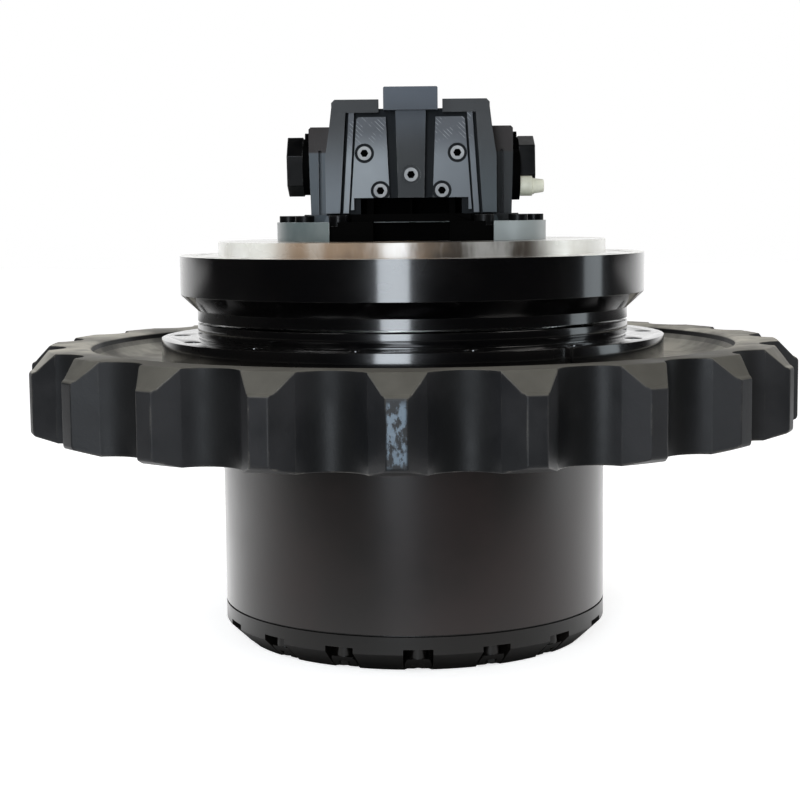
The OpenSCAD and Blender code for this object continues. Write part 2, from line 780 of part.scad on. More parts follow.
// Posts that join the two plates of a carrier, midway between the planets
module carrier_posts(n, r, z, h) {
    translate([0, 0, z - eps])
        for (k = [0 : n - 1])
            rotate(orbit_angle(k + 0.5, n)) translate([r, 0, 0]) cylinder(r = post_r, h = h + 2 * eps);
}

module pin_holes(n, orbit, pin_r, z, h) {
    for (k = [0 : n - 1])
        rotate(orbit_angle(k, n)) translate([orbit, 0, z]) cylinder(r = pin_r, h = h);
}

module carrier_1() {
    color(dark_steel)
        difference() {
            union() {
                translate([0, 0, carrier_1_z]) tube(carrier_r, sun_window_r, carrier_1_low_t);
                translate([0, 0, carrier_1_top_z]) cylinder(r = carrier_r, h = carrier_1_top_t);
                carrier_posts(planet_1_n, carrier_r - post_r - 8, carrier_1_z + carrier_1_low_t,
                    face_1 + 2 * side_play);
            }
            pin_holes(planet_1_n, orbit_1, pin_1_r, carrier_1_z - 1, carrier_1_top_z + carrier_1_top_t - carrier_1_z + 2);
            translate([0, 0, carrier_1_top_z - 1])
                linear_extrude(carrier_1_top_t + 2) spline_shape(sun_2_spline_r + spline_gap);
        }
}
sun_window_r = 46;

module planet_pins_1() {
    color(steel)
        pin_holes(planet_1_n, orbit_1, pin_1_r, carrier_1_z, carrier_1_top_z + carrier_1_top_t - carrier_1_z);
}

module carrier_2() {
    color(dark_steel)
        difference() {
            union() {
                translate([0, 0, carrier_2_z]) tube(carrier_r, sun_window_r, carrier_2_low_t);
                translate([0, 0, carrier_2_top_z]) cylinder(r = carrier_r, h = carrier_2_top_t);
                carrier_posts(planet_2_n, carrier_r - post_r - 4, carrier_2_z + carrier_2_low_t,
                    face_2 + 2 * side_play);
            }
            pin_holes(planet_2_n, orbit_2, pin_2_r, carrier_2_z - 1, carrier_2_end_z - carrier_2_z + 2);
            translate([0, 0, carrier_2_top_z - 1])
                linear_extrude(carrier_2_top_t + 2) spline_shape(nose_r + spline_gap);
        }
}

module planet_pins_2() {
    color(steel)
        pin_holes(planet_2_n, orbit_2, pin_2_r, carrier_2_z, carrier_2_end_z - carrier_2_z);
}

// Motor shaft, splined to the input gear below and to the cylinder block above
module motor_shaft() {
    low = coupling_z + 4;
    top = motor_top_z - rear_roof_t - 1;
    color(steel)
        difference() {
            union() {
                translate([0, 0, low]) cylinder(r = shaft_r, h = cylinder_z - 12 - low);
                translate([0, 0, cylinder_z - 12 - eps]) linear_extrude(12 + cylinder_h)
                    spline_shape(block_spline_r);
                translate([0, 0, cylinder_z + cylinder_h - 2 * eps])
                    cylinder(r = rear_shaft_r, h = top - cylinder_z - cylinder_h);
            }
            translate([0, 0, low - 1]) linear_extrude(coupling_h - 2) spline_shape(input_r + spline_gap);
        }
}
block_spline_r = 21;

// Full set of rollers round the shaft
module rollers(n, pitch, r, h) {
    ring_of(n, pitch) cylinder(r = r, h = h, $fn = 32);
}

module front_bearing_outer() {
    color(steel) translate([0, 0, floor_z - front_bearing_h])
        tube(front_bearing_r, front_race_r, front_bearing_h - 1);
}

module front_bearing_rollers() {
    color(steel) translate([0, 0, floor_z - front_bearing_h + 2])
        rollers(roller_n, front_roller_pitch, roller_r, front_bearing_h - 5);
}

module rear_bearing_outer() {
    color(steel) translate([0, 0, pilot_top_z + 1]) tube(rear_bearing_r, rear_race_r, rear_bearing_h);
}

module rear_bearing_rollers() {
    color(steel) translate([0, 0, pilot_top_z + 2])
        rollers(rear_roller_n, rear_roller_pitch, rear_roller_r, rear_bearing_h - 3);
}

module shaft_seal() {
    color(rubber) translate([0, 0, floor_z - front_bearing_h - shaft_seal_h])
        difference() {
            tube(seal_r, shaft_r + 0.3, shaft_seal_h);
            translate([0, 0, 2]) tube(seal_r - 2, shaft_r + 3, shaft_seal_h);
        }
}

// Round back of the swash plate, which rocks in the saddle
module swash_back(gap) {
    translate([-swash_r - 1, 0, swash_z + swash_back_r])
        rotate([0, 90, 0]) cylinder(r = swash_back_r + gap, h = 2 * swash_r + 2, $fn = 120);
}

module swash_saddle() {
    color(dark_steel)
        difference() {
            translate([0, 0, floor_z]) tube(swash_r, shaft_r + 8, saddle_t + swash_t - 8);
            swash_back(0.2);
        }
}

// Swash plate, drawn square to the shaft
module swash_plate() {
    color(steel)
        intersection() {
            translate([0, 0, swash_z]) tube(swash_r, shaft_r + 8, swash_t);
            swash_back(0);
        }
}

module cylinder_block() {
    color(bronze)
        difference() {
            translate([0, 0, cylinder_z]) cylinder(d = cylinder_d, h = cylinder_h);
            ring_of(piston_n, piston_pcd / 2)
                translate([0, 0, cylinder_z - 1]) cylinder(r = piston_d / 2 + bore_fit, h = cylinder_h - 8);
            translate([0, 0, cylinder_z - 1])
                linear_extrude(cylinder_h + 2) spline_shape(block_spline_r + spline_gap);
        }
}

// Pistons, each with its ball and its slipper shoe
piston_l = 64;
module pistons() {
    color(steel)
        ring_of(piston_n, piston_pcd / 2) {
            translate([0, 0, shoe_z]) cylinder(r = shoe_r, h = shoe_t);
            translate([0, 0, shoe_z + shoe_t + ball_joint_r - 3]) sphere(r = ball_joint_r);
            translate([0, 0, shoe_z + shoe_t + ball_joint_r]) cylinder(d = piston_d, h = piston_l);
        }
}

module shoe_retainer() {
    color(steel)
        translate([0, 0, shoe_z + shoe_t + 0.05])
            difference() {
                tube(piston_pcd / 2 + shoe_r + 4, shaft_r + 4, retainer_t);
                ring_of(piston_n, piston_pcd / 2)
                    translate([0, 0, -1]) cylinder(r = ball_joint_r + 0.6, h = retainer_t + 2);
            }
}

// Plate with the two kidney-shaped oil ways
module valve_plate() {
    color(bronze)
        translate([0, 0, pilot_top_z - valve_plate_t])
            difference() {
                tube(piston_pcd / 2 + 18, rear_shaft_r + 6, valve_plate_t);
                for (side = [0, 180])
                    rotate(side) translate([0, 0, -1]) linear_extrude(valve_plate_t + 2)
                        kidney(piston_pcd / 2, kidney_w / 2, 62);
            }
}
kidney_w = 12;

// Arc-shaped slot of half width w on radius r, from angle -a to angle a
module kidney(r, w, a) {
    intersection() {
        difference() {
            circle(r = r + w);
            circle(r = r - w);
        }
        polygon([[0, 0], polar(3 * r, -a), [3 * r, 0], polar(3 * r, a)]);
    }
}

module friction_discs() {
    color(bronze)
        for (k = [0 : friction_n - 1])
            translate([0, 0, disc_z + k * disc_pitch + disc_t + 0.1])
                tube(friction_out_r, friction_in_r, disc_t);
}

module brake_plates() {
    color(dark_steel)
        for (k = [0 : friction_n])
            translate([0, 0, disc_z + k * disc_pitch]) tube(brake_r, plate_in_r, disc_t);
}

module brake_piston() {
    color(steel)
        translate([0, 0, piston_z])
            rotate_extrude()
                polygon([[plate_in_r, 0], [brake_r, 0], [brake_r, brake_piston_h], [brake_r - 8, brake_piston_h],
                    [brake_r - 8, brake_piston_h - 6], [plate_in_r, brake_piston_h - 6]]);
}

// Disc spring between the brake piston and the motor flange
module brake_spring() {
    z0 = piston_z + brake_piston_h - 6;
    z1 = pilot_top_z;
    color(steel)
        rotate_extrude()
            polygon([[plate_in_r, z1 - 4.3], [plate_in_r, z1 - 0.3], [brake_r - 8.5, z0 + 4.3],
                [brake_r - 8.5, z0 + 0.3]]);
}

// Grey flange that carries the rear bearing and the port block
module motor_flange() {
    color(flange_grey)
        difference() {
            translate([0, 0, pilot_top_z]) cylinder(d = motor_flange_d, h = motor_flange_t);
            translate([0, 0, pilot_top_z - 1]) cylinder(r = rear_bearing_r, h = motor_flange_t - rear_roof_t + 1);
            translate([-foot_w / 2 - foot_gap, -motor_flange_d, pilot_top_z - 1])
                cube([foot_w + 2 * foot_gap, motor_flange_d - foot_y + foot_gap, motor_flange_t + 2]);
            motor_bolt_holes();
            for (x = [-1, 1])
                translate([x * 50, 0, pilot_top_z - 1]) cylinder(r = 9, h = motor_flange_t + 2);
        }
}
foot_w = 150;
foot_y = 84;
foot_gap = 0.2;

// Motor bolts all round, but for the stretch that the block's foot takes at the front
module motor_bolt_ring() {
    for (k = [0 : motor_bolt_n - 1])
        let (a = motor_bolt_phase + k * 360 / motor_bolt_n)
            if (a > foot_half_angle && a < 360 - foot_half_angle)
                rotate(azimuth(a)) translate([motor_flange_d / 2 - motor_bolt_inset, 0, 0]) children();
}
foot_half_angle = 25;

module motor_bolt_holes() {
    motor_bolt_ring() {
        translate([0, 0, pilot_top_z - 1]) cylinder(d = motor_bolt_d + 1, h = motor_flange_t + 2);
        translate([0, 0, motor_top_z - bolt_sink]) cylinder(d = 1.5 * motor_bolt_d + 1, h = bolt_sink + 1);
    }
}
bolt_sink = 4;

module motor_bolts() {
    color(dark_steel)
        motor_bolt_ring()
            translate([0, 0, motor_top_z - bolt_sink]) mirror([0, 0, 1])
                socket_screw(motor_bolt_d, motor_flange_t - bolt_sink + motor_bolt_bite, motor_bolt_d - 2);
}

// Outline of the block seen from the front, wider at the foot
module block_outline() {
    polygon([[-block_foot_x, block_low_z], [-block_foot_x, block_waist_z], [-block_w / 2, shoulder_z - chamfer],
        [-block_w / 2 + chamfer, shoulder_z], [block_w / 2 - chamfer, shoulder_z],
        [block_w / 2, shoulder_z - chamfer], [block_foot_x, block_waist_z], [block_foot_x, block_low_z]]);
}
chamfer = 3;
block_foot_x = block_w / 2 + block_draft;
block_low_z = motor_top_z + 6;
block_waist_z = motor_top_z + 60;
front_y = -block_l / 2;
back_y = block_l / 2;

// Extrudes a front-view outline from y = front to y = back
module from_front(front, back) {
    translate([0, back, 0]) rotate([90, 0, 0]) linear_extrude(back - front) children();
}

// Both sides of the front, the second one mirrored
module both_sides() {
    children();
    mirror([1, 0, 0]) children();
}

// Outlines of the cast relief, right half
panel_top_z = shoulder_z - 16;
panel_low_z = motor_top_z + 22;
lip_z = shoulder_z - 12;
pillar_low_z = motor_top_z + 8;

module lip_outline() {
    polygon([[head_w / 2 + slot_w, lip_z], [block_w / 2, lip_z], [block_w / 2, shoulder_z - chamfer],
        [block_w / 2 - chamfer, shoulder_z], [head_w / 2 + slot_w, shoulder_z]]);
}

module pillar_outline() {
    polygon([[block_w / 2 - pillar_w, lip_z], [block_w / 2, lip_z], [block_foot_x, block_waist_z],
        [block_foot_x, pillar_low_z], [block_foot_x - pillar_w, pillar_low_z]]);
}

module ridge_outline() {
    inner = block_w / 2 - pillar_w - 3 - ridge_w;
    polygon([[inner, lip_z], [inner + ridge_w, lip_z], [inner + ridge_w + block_draft, pillar_low_z],
        [inner + block_draft, pillar_low_z]]);
}

module pad_outline() {
    top_x = block_w / 2 - pillar_w - ridge_w - 5;
    polygon([[rib_top_w / 2 + groove_w, panel_top_z], [top_x - 2, panel_top_z], [top_x, panel_top_z - 2],
        [top_x + block_draft, pillar_low_z + 3], [top_x + block_draft - 3, pillar_low_z + 3],
        [top_x + block_draft - 3, panel_low_z], [rib_foot_w / 2 + groove_w - 1, panel_low_z]]);
}

module rib_outline() {
    polygon([[-rib_foot_w / 2, panel_low_z - 2], [rib_foot_w / 2, panel_low_z - 2],
        [rib_top_w / 2, head_top_z - head_h], [head_w / 2, head_top_z - head_h], [head_w / 2, head_top_z - 1],
        [head_w / 2 - 1, head_top_z], [1 - head_w / 2, head_top_z], [-head_w / 2, head_top_z - 1],
        [-head_w / 2, head_top_z - head_h], [-rib_top_w / 2, head_top_z - head_h]]);
}

module head_outline() {
    polygon([[-head_w / 2, head_top_z - head_h], [head_w / 2, head_top_z - head_h],
        [head_w / 2, head_top_z - 1], [head_w / 2 - 1, head_top_z], [1 - head_w / 2, head_top_z],
        [-head_w / 2, head_top_z - 1]]);
}

plug_spots = [[-43, 63], [43, 63], [-28.5, 28.5], [28.5, 28.5], [0, 43]];
pad_y = front_y + 4;
function plug_y(p) = p[0] == 0 ? front_y : pad_y;

module port_block() {
    color(cast_slate)
        difference() {
            union() {
                from_front(front_y + relief, back_y) block_outline();
                from_front(front_y - head_out, back_y) head_outline();
                from_front(front_y, 0) rib_outline();
                both_sides() {
                    from_front(front_y + 2, 0) lip_outline();
                    from_front(front_y, 0) pillar_outline();
                    from_front(front_y + 3, 0) ridge_outline();
                    from_front(pad_y, 0) pad_outline();
                }
                translate([0, 0, motor_top_z]) cylinder(r = base_r, h = 7);
                block_foot();
                side_bodies();
            }
            undercut();
            head_slots();
            both_sides()
                translate([side_groove_x, -side_l / 2 - 1, motor_top_z + chamfer])
                    cube([side_groove_w, side_groove_l + 1, side_h - 25]);
            for (p = plug_spots)
                translate([p[0], plug_y(p) - 1, motor_top_z + p[1]]) rotate([-90, 0, 0]) {
                    cylinder(r = plug_r + 2.6, h = 3);
                    cylinder(r = plug_r, h = 12);
                }
            translate([-side_w, 0, spool_z]) rotate([0, 90, 0]) cylinder(d = spool_d, h = 2 * side_w);
            main_ports();
            motor_bolt_reliefs();
        }
}
base_r = motor_flange_d / 2 - 2 * motor_bolt_inset - 5.5;

// Slots that part the head from the shoulders, wider behind the front lips
module head_slots() {
    both_sides() {
        translate([head_w / 2, front_y - head_out - 1, shoulder_z - slot_depth])
            cube([slot_w, block_l + head_out + 2, slot_depth + 1]);
        translate([head_w / 2, front_y + relief, shoulder_z - slot_depth])
            cube([slot_w + 3, block_l, slot_depth + 1]);
    }
}

// Foot of the block, which fills the flat on the front of the motor flange
module block_foot() {
    lap = 7;
    difference() {
        intersection() {
            translate([0, 0, pilot_top_z + 0.05]) cylinder(d = motor_flange_d - 4, h = motor_flange_t + lap);
            union() {
                translate([-foot_w / 2, -motor_flange_d, pilot_top_z])
                    cube([foot_w, motor_flange_d - foot_y, motor_flange_t]);
                translate([-foot_w / 2, -foot_y - 14, pilot_top_z]) cube([foot_w, 14, motor_flange_t + lap]);
                translate([-foot_w / 2, -foot_y - 14, motor_top_z]) cube([foot_w, 34, lap]);
            }
        }
        motor_bolt_holes();
        translate([-arch_w / 2, -motor_flange_d, pilot_top_z - 1])
            cube([arch_w, motor_flange_d - foot_y - 6, motor_flange_t + lap + 2]);
        translate([-arch_w / 2, -motor_flange_d, motor_top_z - 1])
            cube([arch_w, motor_flange_d - foot_y, lap + 2]);
    }
}
arch_w = 70;
arch_rib_w = 6;

// Valve bodies on the left and right, through which the counterbalance spool runs
module side_bodies() {
    outer = side_w / 2;
    top_z = motor_top_z + side_h;
    both_sides() {
        from_front(-side_l / 2, side_l / 2)
            polygon([[0, motor_top_z + 7], [outer - 1.5, motor_top_z + 7], [outer, top_z - 24], [outer, top_z - 2],
                [outer - 2, top_z], [0, top_z]]);
        translate([0, 0, spool_z]) rotate([0, 90, 0]) cylinder(r = spool_boss_r, h = outer + spool_boss_l);
        for (y = [-1, 1])
            translate([0, y * 30, top_z - 11]) rotate([0, 90, 0]) cylinder(r = 6, h = outer + 4);
    }
    translate([0, round_boss_y, round_boss_z]) rotate([0, 90, 0]) cylinder(r = round_boss_r, h = spool_seat_x);
}
spool_boss_r = 27;
spool_boss_l = 7;
round_boss_r = 24;
round_boss_y = -side_l / 2 + round_boss_r;
round_boss_z = spool_z - 9.5;
side_groove_x = 84.3;
side_groove_w = 3;
side_groove_l = 8;
spool_seat_x = side_w / 2 + spool_boss_l;

// Dark arch under the panels, with thin ribs left standing
module undercut() {
    arch_x = block_w / 2 - pillar_w - ridge_w - 8;
    difference() {
        from_front(front_y - 1, front_y + 45)
            polygon([[-arch_x, motor_top_z - 1], [arch_x, motor_top_z - 1], [arch_x, panel_low_z],
                [-arch_x, panel_low_z]]);
        translate([-arch_rib_w / 6, front_y + 8, motor_top_z]) cube([arch_rib_w / 3, 40, 30]);
        both_sides()
            translate([arch_w / 2, front_y + 4, motor_top_z - 2]) cube([arch_rib_w, 45, 30]);
    }
}

module main_ports() {
    for (x = [-1, 1])
        translate([x * port_x, back_y + 1, spool_z + 22]) rotate([90, 0, 0]) {
            cylinder(d = port_d, h = port_depth + 1);
            cylinder(d = port_d * 1.7, h = 2);
            for (dx = [-1, 1], dz = [-1, 1])
                translate([dx * port_bolt_x, dz * port_bolt_z, 0]) cylinder(d = 9, h = 19);
        }
    translate([0, back_y + 1, motor_top_z + 28]) rotate([90, 0, 0]) {
        cylinder(d = drain_d, h = 26);
        cylinder(d = drain_d * 1.6, h = 2);
    }
}
port_x = 38;
port_bolt_x = 13;
port_bolt_z = 26;
drain_d = 16;

module motor_bolt_reliefs() {
    motor_bolt_ring() translate([0, 0, motor_top_z]) cylinder(r = motor_bolt_d, h = motor_bolt_d + 3);
}

// Socket plugs in the front of the block
module face_plugs() {
    color(steel)
        for (p = plug_spots)
            translate([p[0], plug_y(p), motor_top_z + p[1]]) rotate([-90, 0, 0])
                difference() {
                    translate([0, 0, 0.5]) cylinder(r = plug_r, h = 10.5);
                    translate([0, 0, -1]) linear_extrude(7) hexagon(plug_r);
                }
}

// Counterbalance spool with its metering lands
module spool() {
    color(steel)
        translate([0, 0, spool_z]) rotate([0, 90, 0])
            difference() {
                translate([0, 0, -spool_l / 2]) cylinder(r = spool_d / 2 - bore_fit, h = spool_l);
                for (x = [-34, 0, 34])
                    translate([0, 0, x - 7]) tube(spool_d, spool_d / 2 - 6, 14);
                for (end = [0, 1]) mirror([0, 0, end])
                    translate([0, 0, spool_l / 2 - 10]) cylinder(r = spring_r + 1.6, h = 11);
            }
}
spring_r = 8.5;
wire_r = 1.4;
spring_turns = 5;

function coil_point(t, length) = [(spring_r) * cos(360 * spring_turns * t),
    spring_r * sin(360 * spring_turns * t), wire_r + t * (length - 2 * wire_r)];

// Helical spring of the given length, standing on z = 0
module coil_spring(length) {
    rings = spring_turns * 12;
    sides = 6;
    pitch = (length - 2 * wire_r) / spring_turns;
    points = [for (i = [0 : rings], s = [0 : sides - 1])
        let (t = i / rings, c = coil_point(t, length), a = 360 * s / sides, w = 360 * spring_turns * t)
        [c[0] + wire_r * cos(a) * cos(w), c[1] + wire_r * cos(a) * sin(w), c[2] + wire_r * sin(a)]];
    sides_faces = [for (i = [0 : rings - 1], s = [0 : sides - 1])
        [i * sides + s, (i + 1) * sides + s, (i + 1) * sides + (s + 1) % sides, i * sides + (s + 1) % sides]];
    polyhedron(points, concat(sides_faces, [[for (s = [0 : sides - 1]) s],
        [for (s = [sides - 1 : -1 : 0]) rings * sides + s]]));
}

module spool_springs() {
    from = spool_l / 2 - 9.7;
    to = spool_seat_x - spool_shank_l - 0.3;
    color(dark_steel)
        for (end = [0, 180])
            rotate([0, 0, end]) translate([from, 0, spool_z]) rotate([0, 90, 0]) coil_spring(to - from);
}

// Hexagon plug that closes one end of the spool bore
module spool_plug(turn) {
    color(paint_black)
        translate([spool_seat_x, 0, spool_z]) rotate([0, 90, 0]) {
            difference() {
                rotate(turn) linear_extrude(spool_plug_l) hexagon(spool_plug_af);
                translate([0, 0, spool_plug_l - 3]) cylinder(r = spool_plug_af * 0.3, h = 4);
            }
            translate([0, 0, -spool_shank_l]) cylinder(r = spool_d / 2 - bore_fit, h = spool_shank_l + eps);
        }
}
spool_shank_l = 28;

module spool_plug_left() {
    mirror([1, 0, 0]) spool_plug(10);
}

module spool_plug_right() {
    spool_plug(-10);
}

// Cross-over relief cartridges in the back of the side bodies
relief_af = 14;
relief_l = 12;
module relief_valves() {
    color(dark_steel)
        for (x = [-1, 1])
            translate([x * (side_w / 2 - relief_af * 0.65), side_l / 2, motor_top_z + side_h - relief_af])
                rotate([-90, 0, 0]) {
                    linear_extrude(relief_l) hexagon(relief_af);
                    translate([0, 0, relief_l - eps]) cylinder(d = relief_af * 0.7, h = relief_l);
                }
}

// Pale dust cap on the pilot port, standing on the round boss
module pilot_cap() {
    color(cream)
        translate([spool_seat_x, round_boss_y - 9, round_boss_z - 11]) rotate([0, 90, 0]) {
            cylinder(r = 9.5, h = 12);
            translate([0, 0, 12 - eps]) cylinder(r1 = 7.5, r2 = 6, h = 11);
        }
}

cover();
cover_bolts();
cover_plugs();
cover_seal();
thrust_pad();
ring_gear();
hub();
sprocket();
sprocket_bolts();
upper_bearing_outer();
lower_bearing_outer();
seal_ring_turning();
seal_rubber_hub();
upper_bearing_balls();
lower_bearing_balls();
upper_bearing_inner();
lower_bearing_inner();
bearing_nut();
spindle();
seal_ring_still();
seal_rubber_spindle();
sun_1();
planet_1(0);  // planet_1_a
planet_1(1);  // planet_1_b
planet_1(2);  // planet_1_c
carrier_1();
planet_pins_1();
sun_2();
planet_2(0);  // planet_2_a
planet_2(1);  // planet_2_b
planet_2(2);  // planet_2_c
planet_2(3);  // planet_2_d
carrier_2();
planet_pins_2();
motor_shaft();
front_bearing_outer();
front_bearing_rollers();
rear_bearing_outer();
rear_bearing_rollers();
shaft_seal();
swash_saddle();
swash_plate();
cylinder_block();
pistons();
shoe_retainer();
valve_plate();
friction_discs();
brake_plates();
brake_piston();
brake_spring();
motor_flange();
motor_bolts();
port_block();
face_plugs();
spool();
spool_springs();
spool_plug_left();
spool_plug_right();
relief_valves();
pilot_cap();
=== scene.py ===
"""Looks of a track final drive: bevelled skins, copied spring halves, finishes, studio light and camera."""

from __future__ import annotations

import json
import logging
import math
from dataclasses import dataclass
from enum import Enum, IntEnum
from typing import Callable, Iterable, Optional, Sequence

import bpy
from mathutils import Matrix, Vector

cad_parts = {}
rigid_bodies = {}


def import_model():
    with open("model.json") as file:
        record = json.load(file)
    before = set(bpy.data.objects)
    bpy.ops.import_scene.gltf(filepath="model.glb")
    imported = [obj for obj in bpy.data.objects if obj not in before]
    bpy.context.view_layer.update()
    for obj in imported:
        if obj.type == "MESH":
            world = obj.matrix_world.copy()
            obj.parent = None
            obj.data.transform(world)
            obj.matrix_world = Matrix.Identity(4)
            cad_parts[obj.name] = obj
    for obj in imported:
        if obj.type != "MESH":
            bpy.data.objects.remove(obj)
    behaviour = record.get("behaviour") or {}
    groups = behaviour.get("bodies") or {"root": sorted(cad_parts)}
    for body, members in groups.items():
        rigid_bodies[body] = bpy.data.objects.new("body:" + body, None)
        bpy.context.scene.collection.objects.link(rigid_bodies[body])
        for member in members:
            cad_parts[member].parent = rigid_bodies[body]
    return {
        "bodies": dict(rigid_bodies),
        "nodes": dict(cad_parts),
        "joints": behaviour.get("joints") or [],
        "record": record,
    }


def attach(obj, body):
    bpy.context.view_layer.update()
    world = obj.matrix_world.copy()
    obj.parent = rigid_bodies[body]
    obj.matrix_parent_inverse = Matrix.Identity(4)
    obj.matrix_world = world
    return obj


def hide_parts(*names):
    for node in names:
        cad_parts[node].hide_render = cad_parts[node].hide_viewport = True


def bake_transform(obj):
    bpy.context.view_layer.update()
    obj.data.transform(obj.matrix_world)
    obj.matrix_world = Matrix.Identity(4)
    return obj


LOG = logging.getLogger("final_drive")
MM = 0.001
Colour = tuple[float, float, float]
Point = tuple[float, float, float]
Span = tuple[float, float]
Socket = bpy.types.NodeSocket
Chooser = Callable[[Vector, Vector], int]

SHARP_ANGLE = 32.0  # degrees: the least angle of a sharp edge
FLAT_ANGLE = 0.15  # degrees: up to this, two faces are joined into one
MERGE_WITHIN = 0.000002  # metres: points nearer than this are merged
LOOKS_UP = 0.9  # least Z in the normal of a face that looks up


def srgb(red: int, green: int, blue: int) -> Colour:
    """Turns an 8-bit screen colour into linear light.

    Args:
        red, green, blue: the screen colour, 0 to 255.

    Returns:
        The colour in linear light.
    """
    def linear(value: int) -> float:
        """One channel in linear light."""
        share = value / 255
        return share / 12.92 if share <= 0.04045 else ((share + 0.055) / 1.055) ** 2.4

    return linear(red), linear(green), linear(blue)


# Shader graphs

class Graph:
    """A node tree with short ways to add and wire nodes."""

    MIX_COLOURS = (6, 7)  # inputs of a Mix node that take colours
    MIX_RESULT = 2  # its output that gives one

    def __init__(self, tree: bpy.types.NodeTree) -> None:
        """Keeps the tree that the nodes go into."""
        self.tree = tree

    def node(self, kind: str, **settings: object) -> bpy.types.Node:
        """Adds a node.

        Args:
            kind: the node's type.
            settings: properties of the node by name.

        Returns:
            The new node.
        """
        made = self.tree.nodes.new(kind)
        for name, value in settings.items():
            setattr(made, name, value)
        return made

    def feed(self, target: bpy.types.NodeSocket, source: object) -> None:
        """Sets an input to a number or colour, or wires a socket to it.

        Args:
            target: the input.
            source: the number, colour or socket.
        """
        if isinstance(source, bpy.types.NodeSocket):
            self.tree.links.new(source, target)
        elif isinstance(source, tuple) and len(source) == 3 and target.type == "RGBA":
            target.default_value = (*source, 1.0)
        else:
            target.default_value = source

    def math(self, operation: str, *values: object, clamp: bool = False) -> Socket:
        """Adds a Math node.

        Args:
            operation: what it works out.
            values: its numbers or sockets.
            clamp: whether the result is held between 0 and 1.

        Returns:
            The result.
        """
        made = self.node("ShaderNodeMath", operation=operation, use_clamp=clamp)
        for socket, value in zip(made.inputs, values):
            self.feed(socket, value)
        return made.outputs[0]

    def ramp(self, value: object, low: float, high: float, to_low: float = 0.0,
             to_high: float = 1.0) -> Socket:
        """Maps a value from one range to another, smoothly and clamped.

        Args:
            value: the socket or number to map.
            low, high: the range it comes from.
            to_low, to_high: the range it goes to.

        Returns:
            The mapped value.
        """
        made = self.node("ShaderNodeMapRange", interpolation_type="SMOOTHSTEP")
        for socket, number in zip(made.inputs, (value, low, high, to_low, to_high)):
            self.feed(socket, number)
        return made.outputs[0]

    def blend(self, share: object, first: object, second: object) -> Socket:
        """Mixes two colours.

        Args:
            share: how much of the second one there is.
            first, second: the colours.

        Returns:
            The mixed colour.
        """
        made = self.node("ShaderNodeMix", data_type="RGBA")
        self.feed(made.inputs[0], share)
        for index, colour in zip(self.MIX_COLOURS, (first, second)):
            self.feed(made.inputs[index], colour)
        return made.outputs[self.MIX_RESULT]

    def place(self) -> Socket:
        """The point on the object, in metres."""
        return self.node("ShaderNodeTexCoord").outputs["Object"]

    def facing(self) -> Socket:
        """The direction of the face itself."""
        return self.node("ShaderNodeNewGeometry").outputs["True Normal"]

    def split(self, vector: Socket) -> Sequence[Socket]:
        """Parts a vector.

        Args:
            vector: the vector.

        Returns:
            Its X, Y and Z.
        """
        made = self.node("ShaderNodeSeparateXYZ")
        self.feed(made.inputs[0], vector)
        return tuple(made.outputs)

    def radius(self, across: Socket, along: Socket) -> Socket:
        """The distance from the Z axis, from X and Y."""
        squares = [self.math("MULTIPLY", part, part) for part in (across, along)]
        return self.math("SQRT", self.math("ADD", *squares))

    def noise(self, scale: object, detail: float = 3.0, rough: float = 0.55,
              stretch: Point = (1, 1, 1)) -> Socket:
        """Adds noise on the object's own points.

        Args:
            scale: how many lumps a metre holds.
            detail: octaves of finer lumps.
            rough: strength of the finer lumps.
            stretch: scale along each axis.

        Returns:
            The noise value, about 0.3 to 0.7.
        """
        mapping = self.node("ShaderNodeMapping")
        mapping.inputs["Scale"].default_value = stretch
        self.feed(mapping.inputs["Vector"], self.place())
        made = self.node("ShaderNodeTexNoise")
        self.feed(made.inputs["Vector"], mapping.outputs[0])
        self.feed(made.inputs["Scale"], scale)
        made.inputs["Detail"].default_value = detail
        made.inputs["Roughness"].default_value = rough
        return made.outputs[0]

    def group(self, name: str, **values: object) -> Socket:
        """Places a shader group with its own values.

        Args:
            name: the group's name.
            values: its inputs by name.

        Returns:
            What the group puts out.
        """
        made = self.node("ShaderNodeGroup", node_tree=bpy.data.node_groups[name])
        for key, value in values.items():
            self.feed(made.inputs[key], value)
        return made.outputs[0]


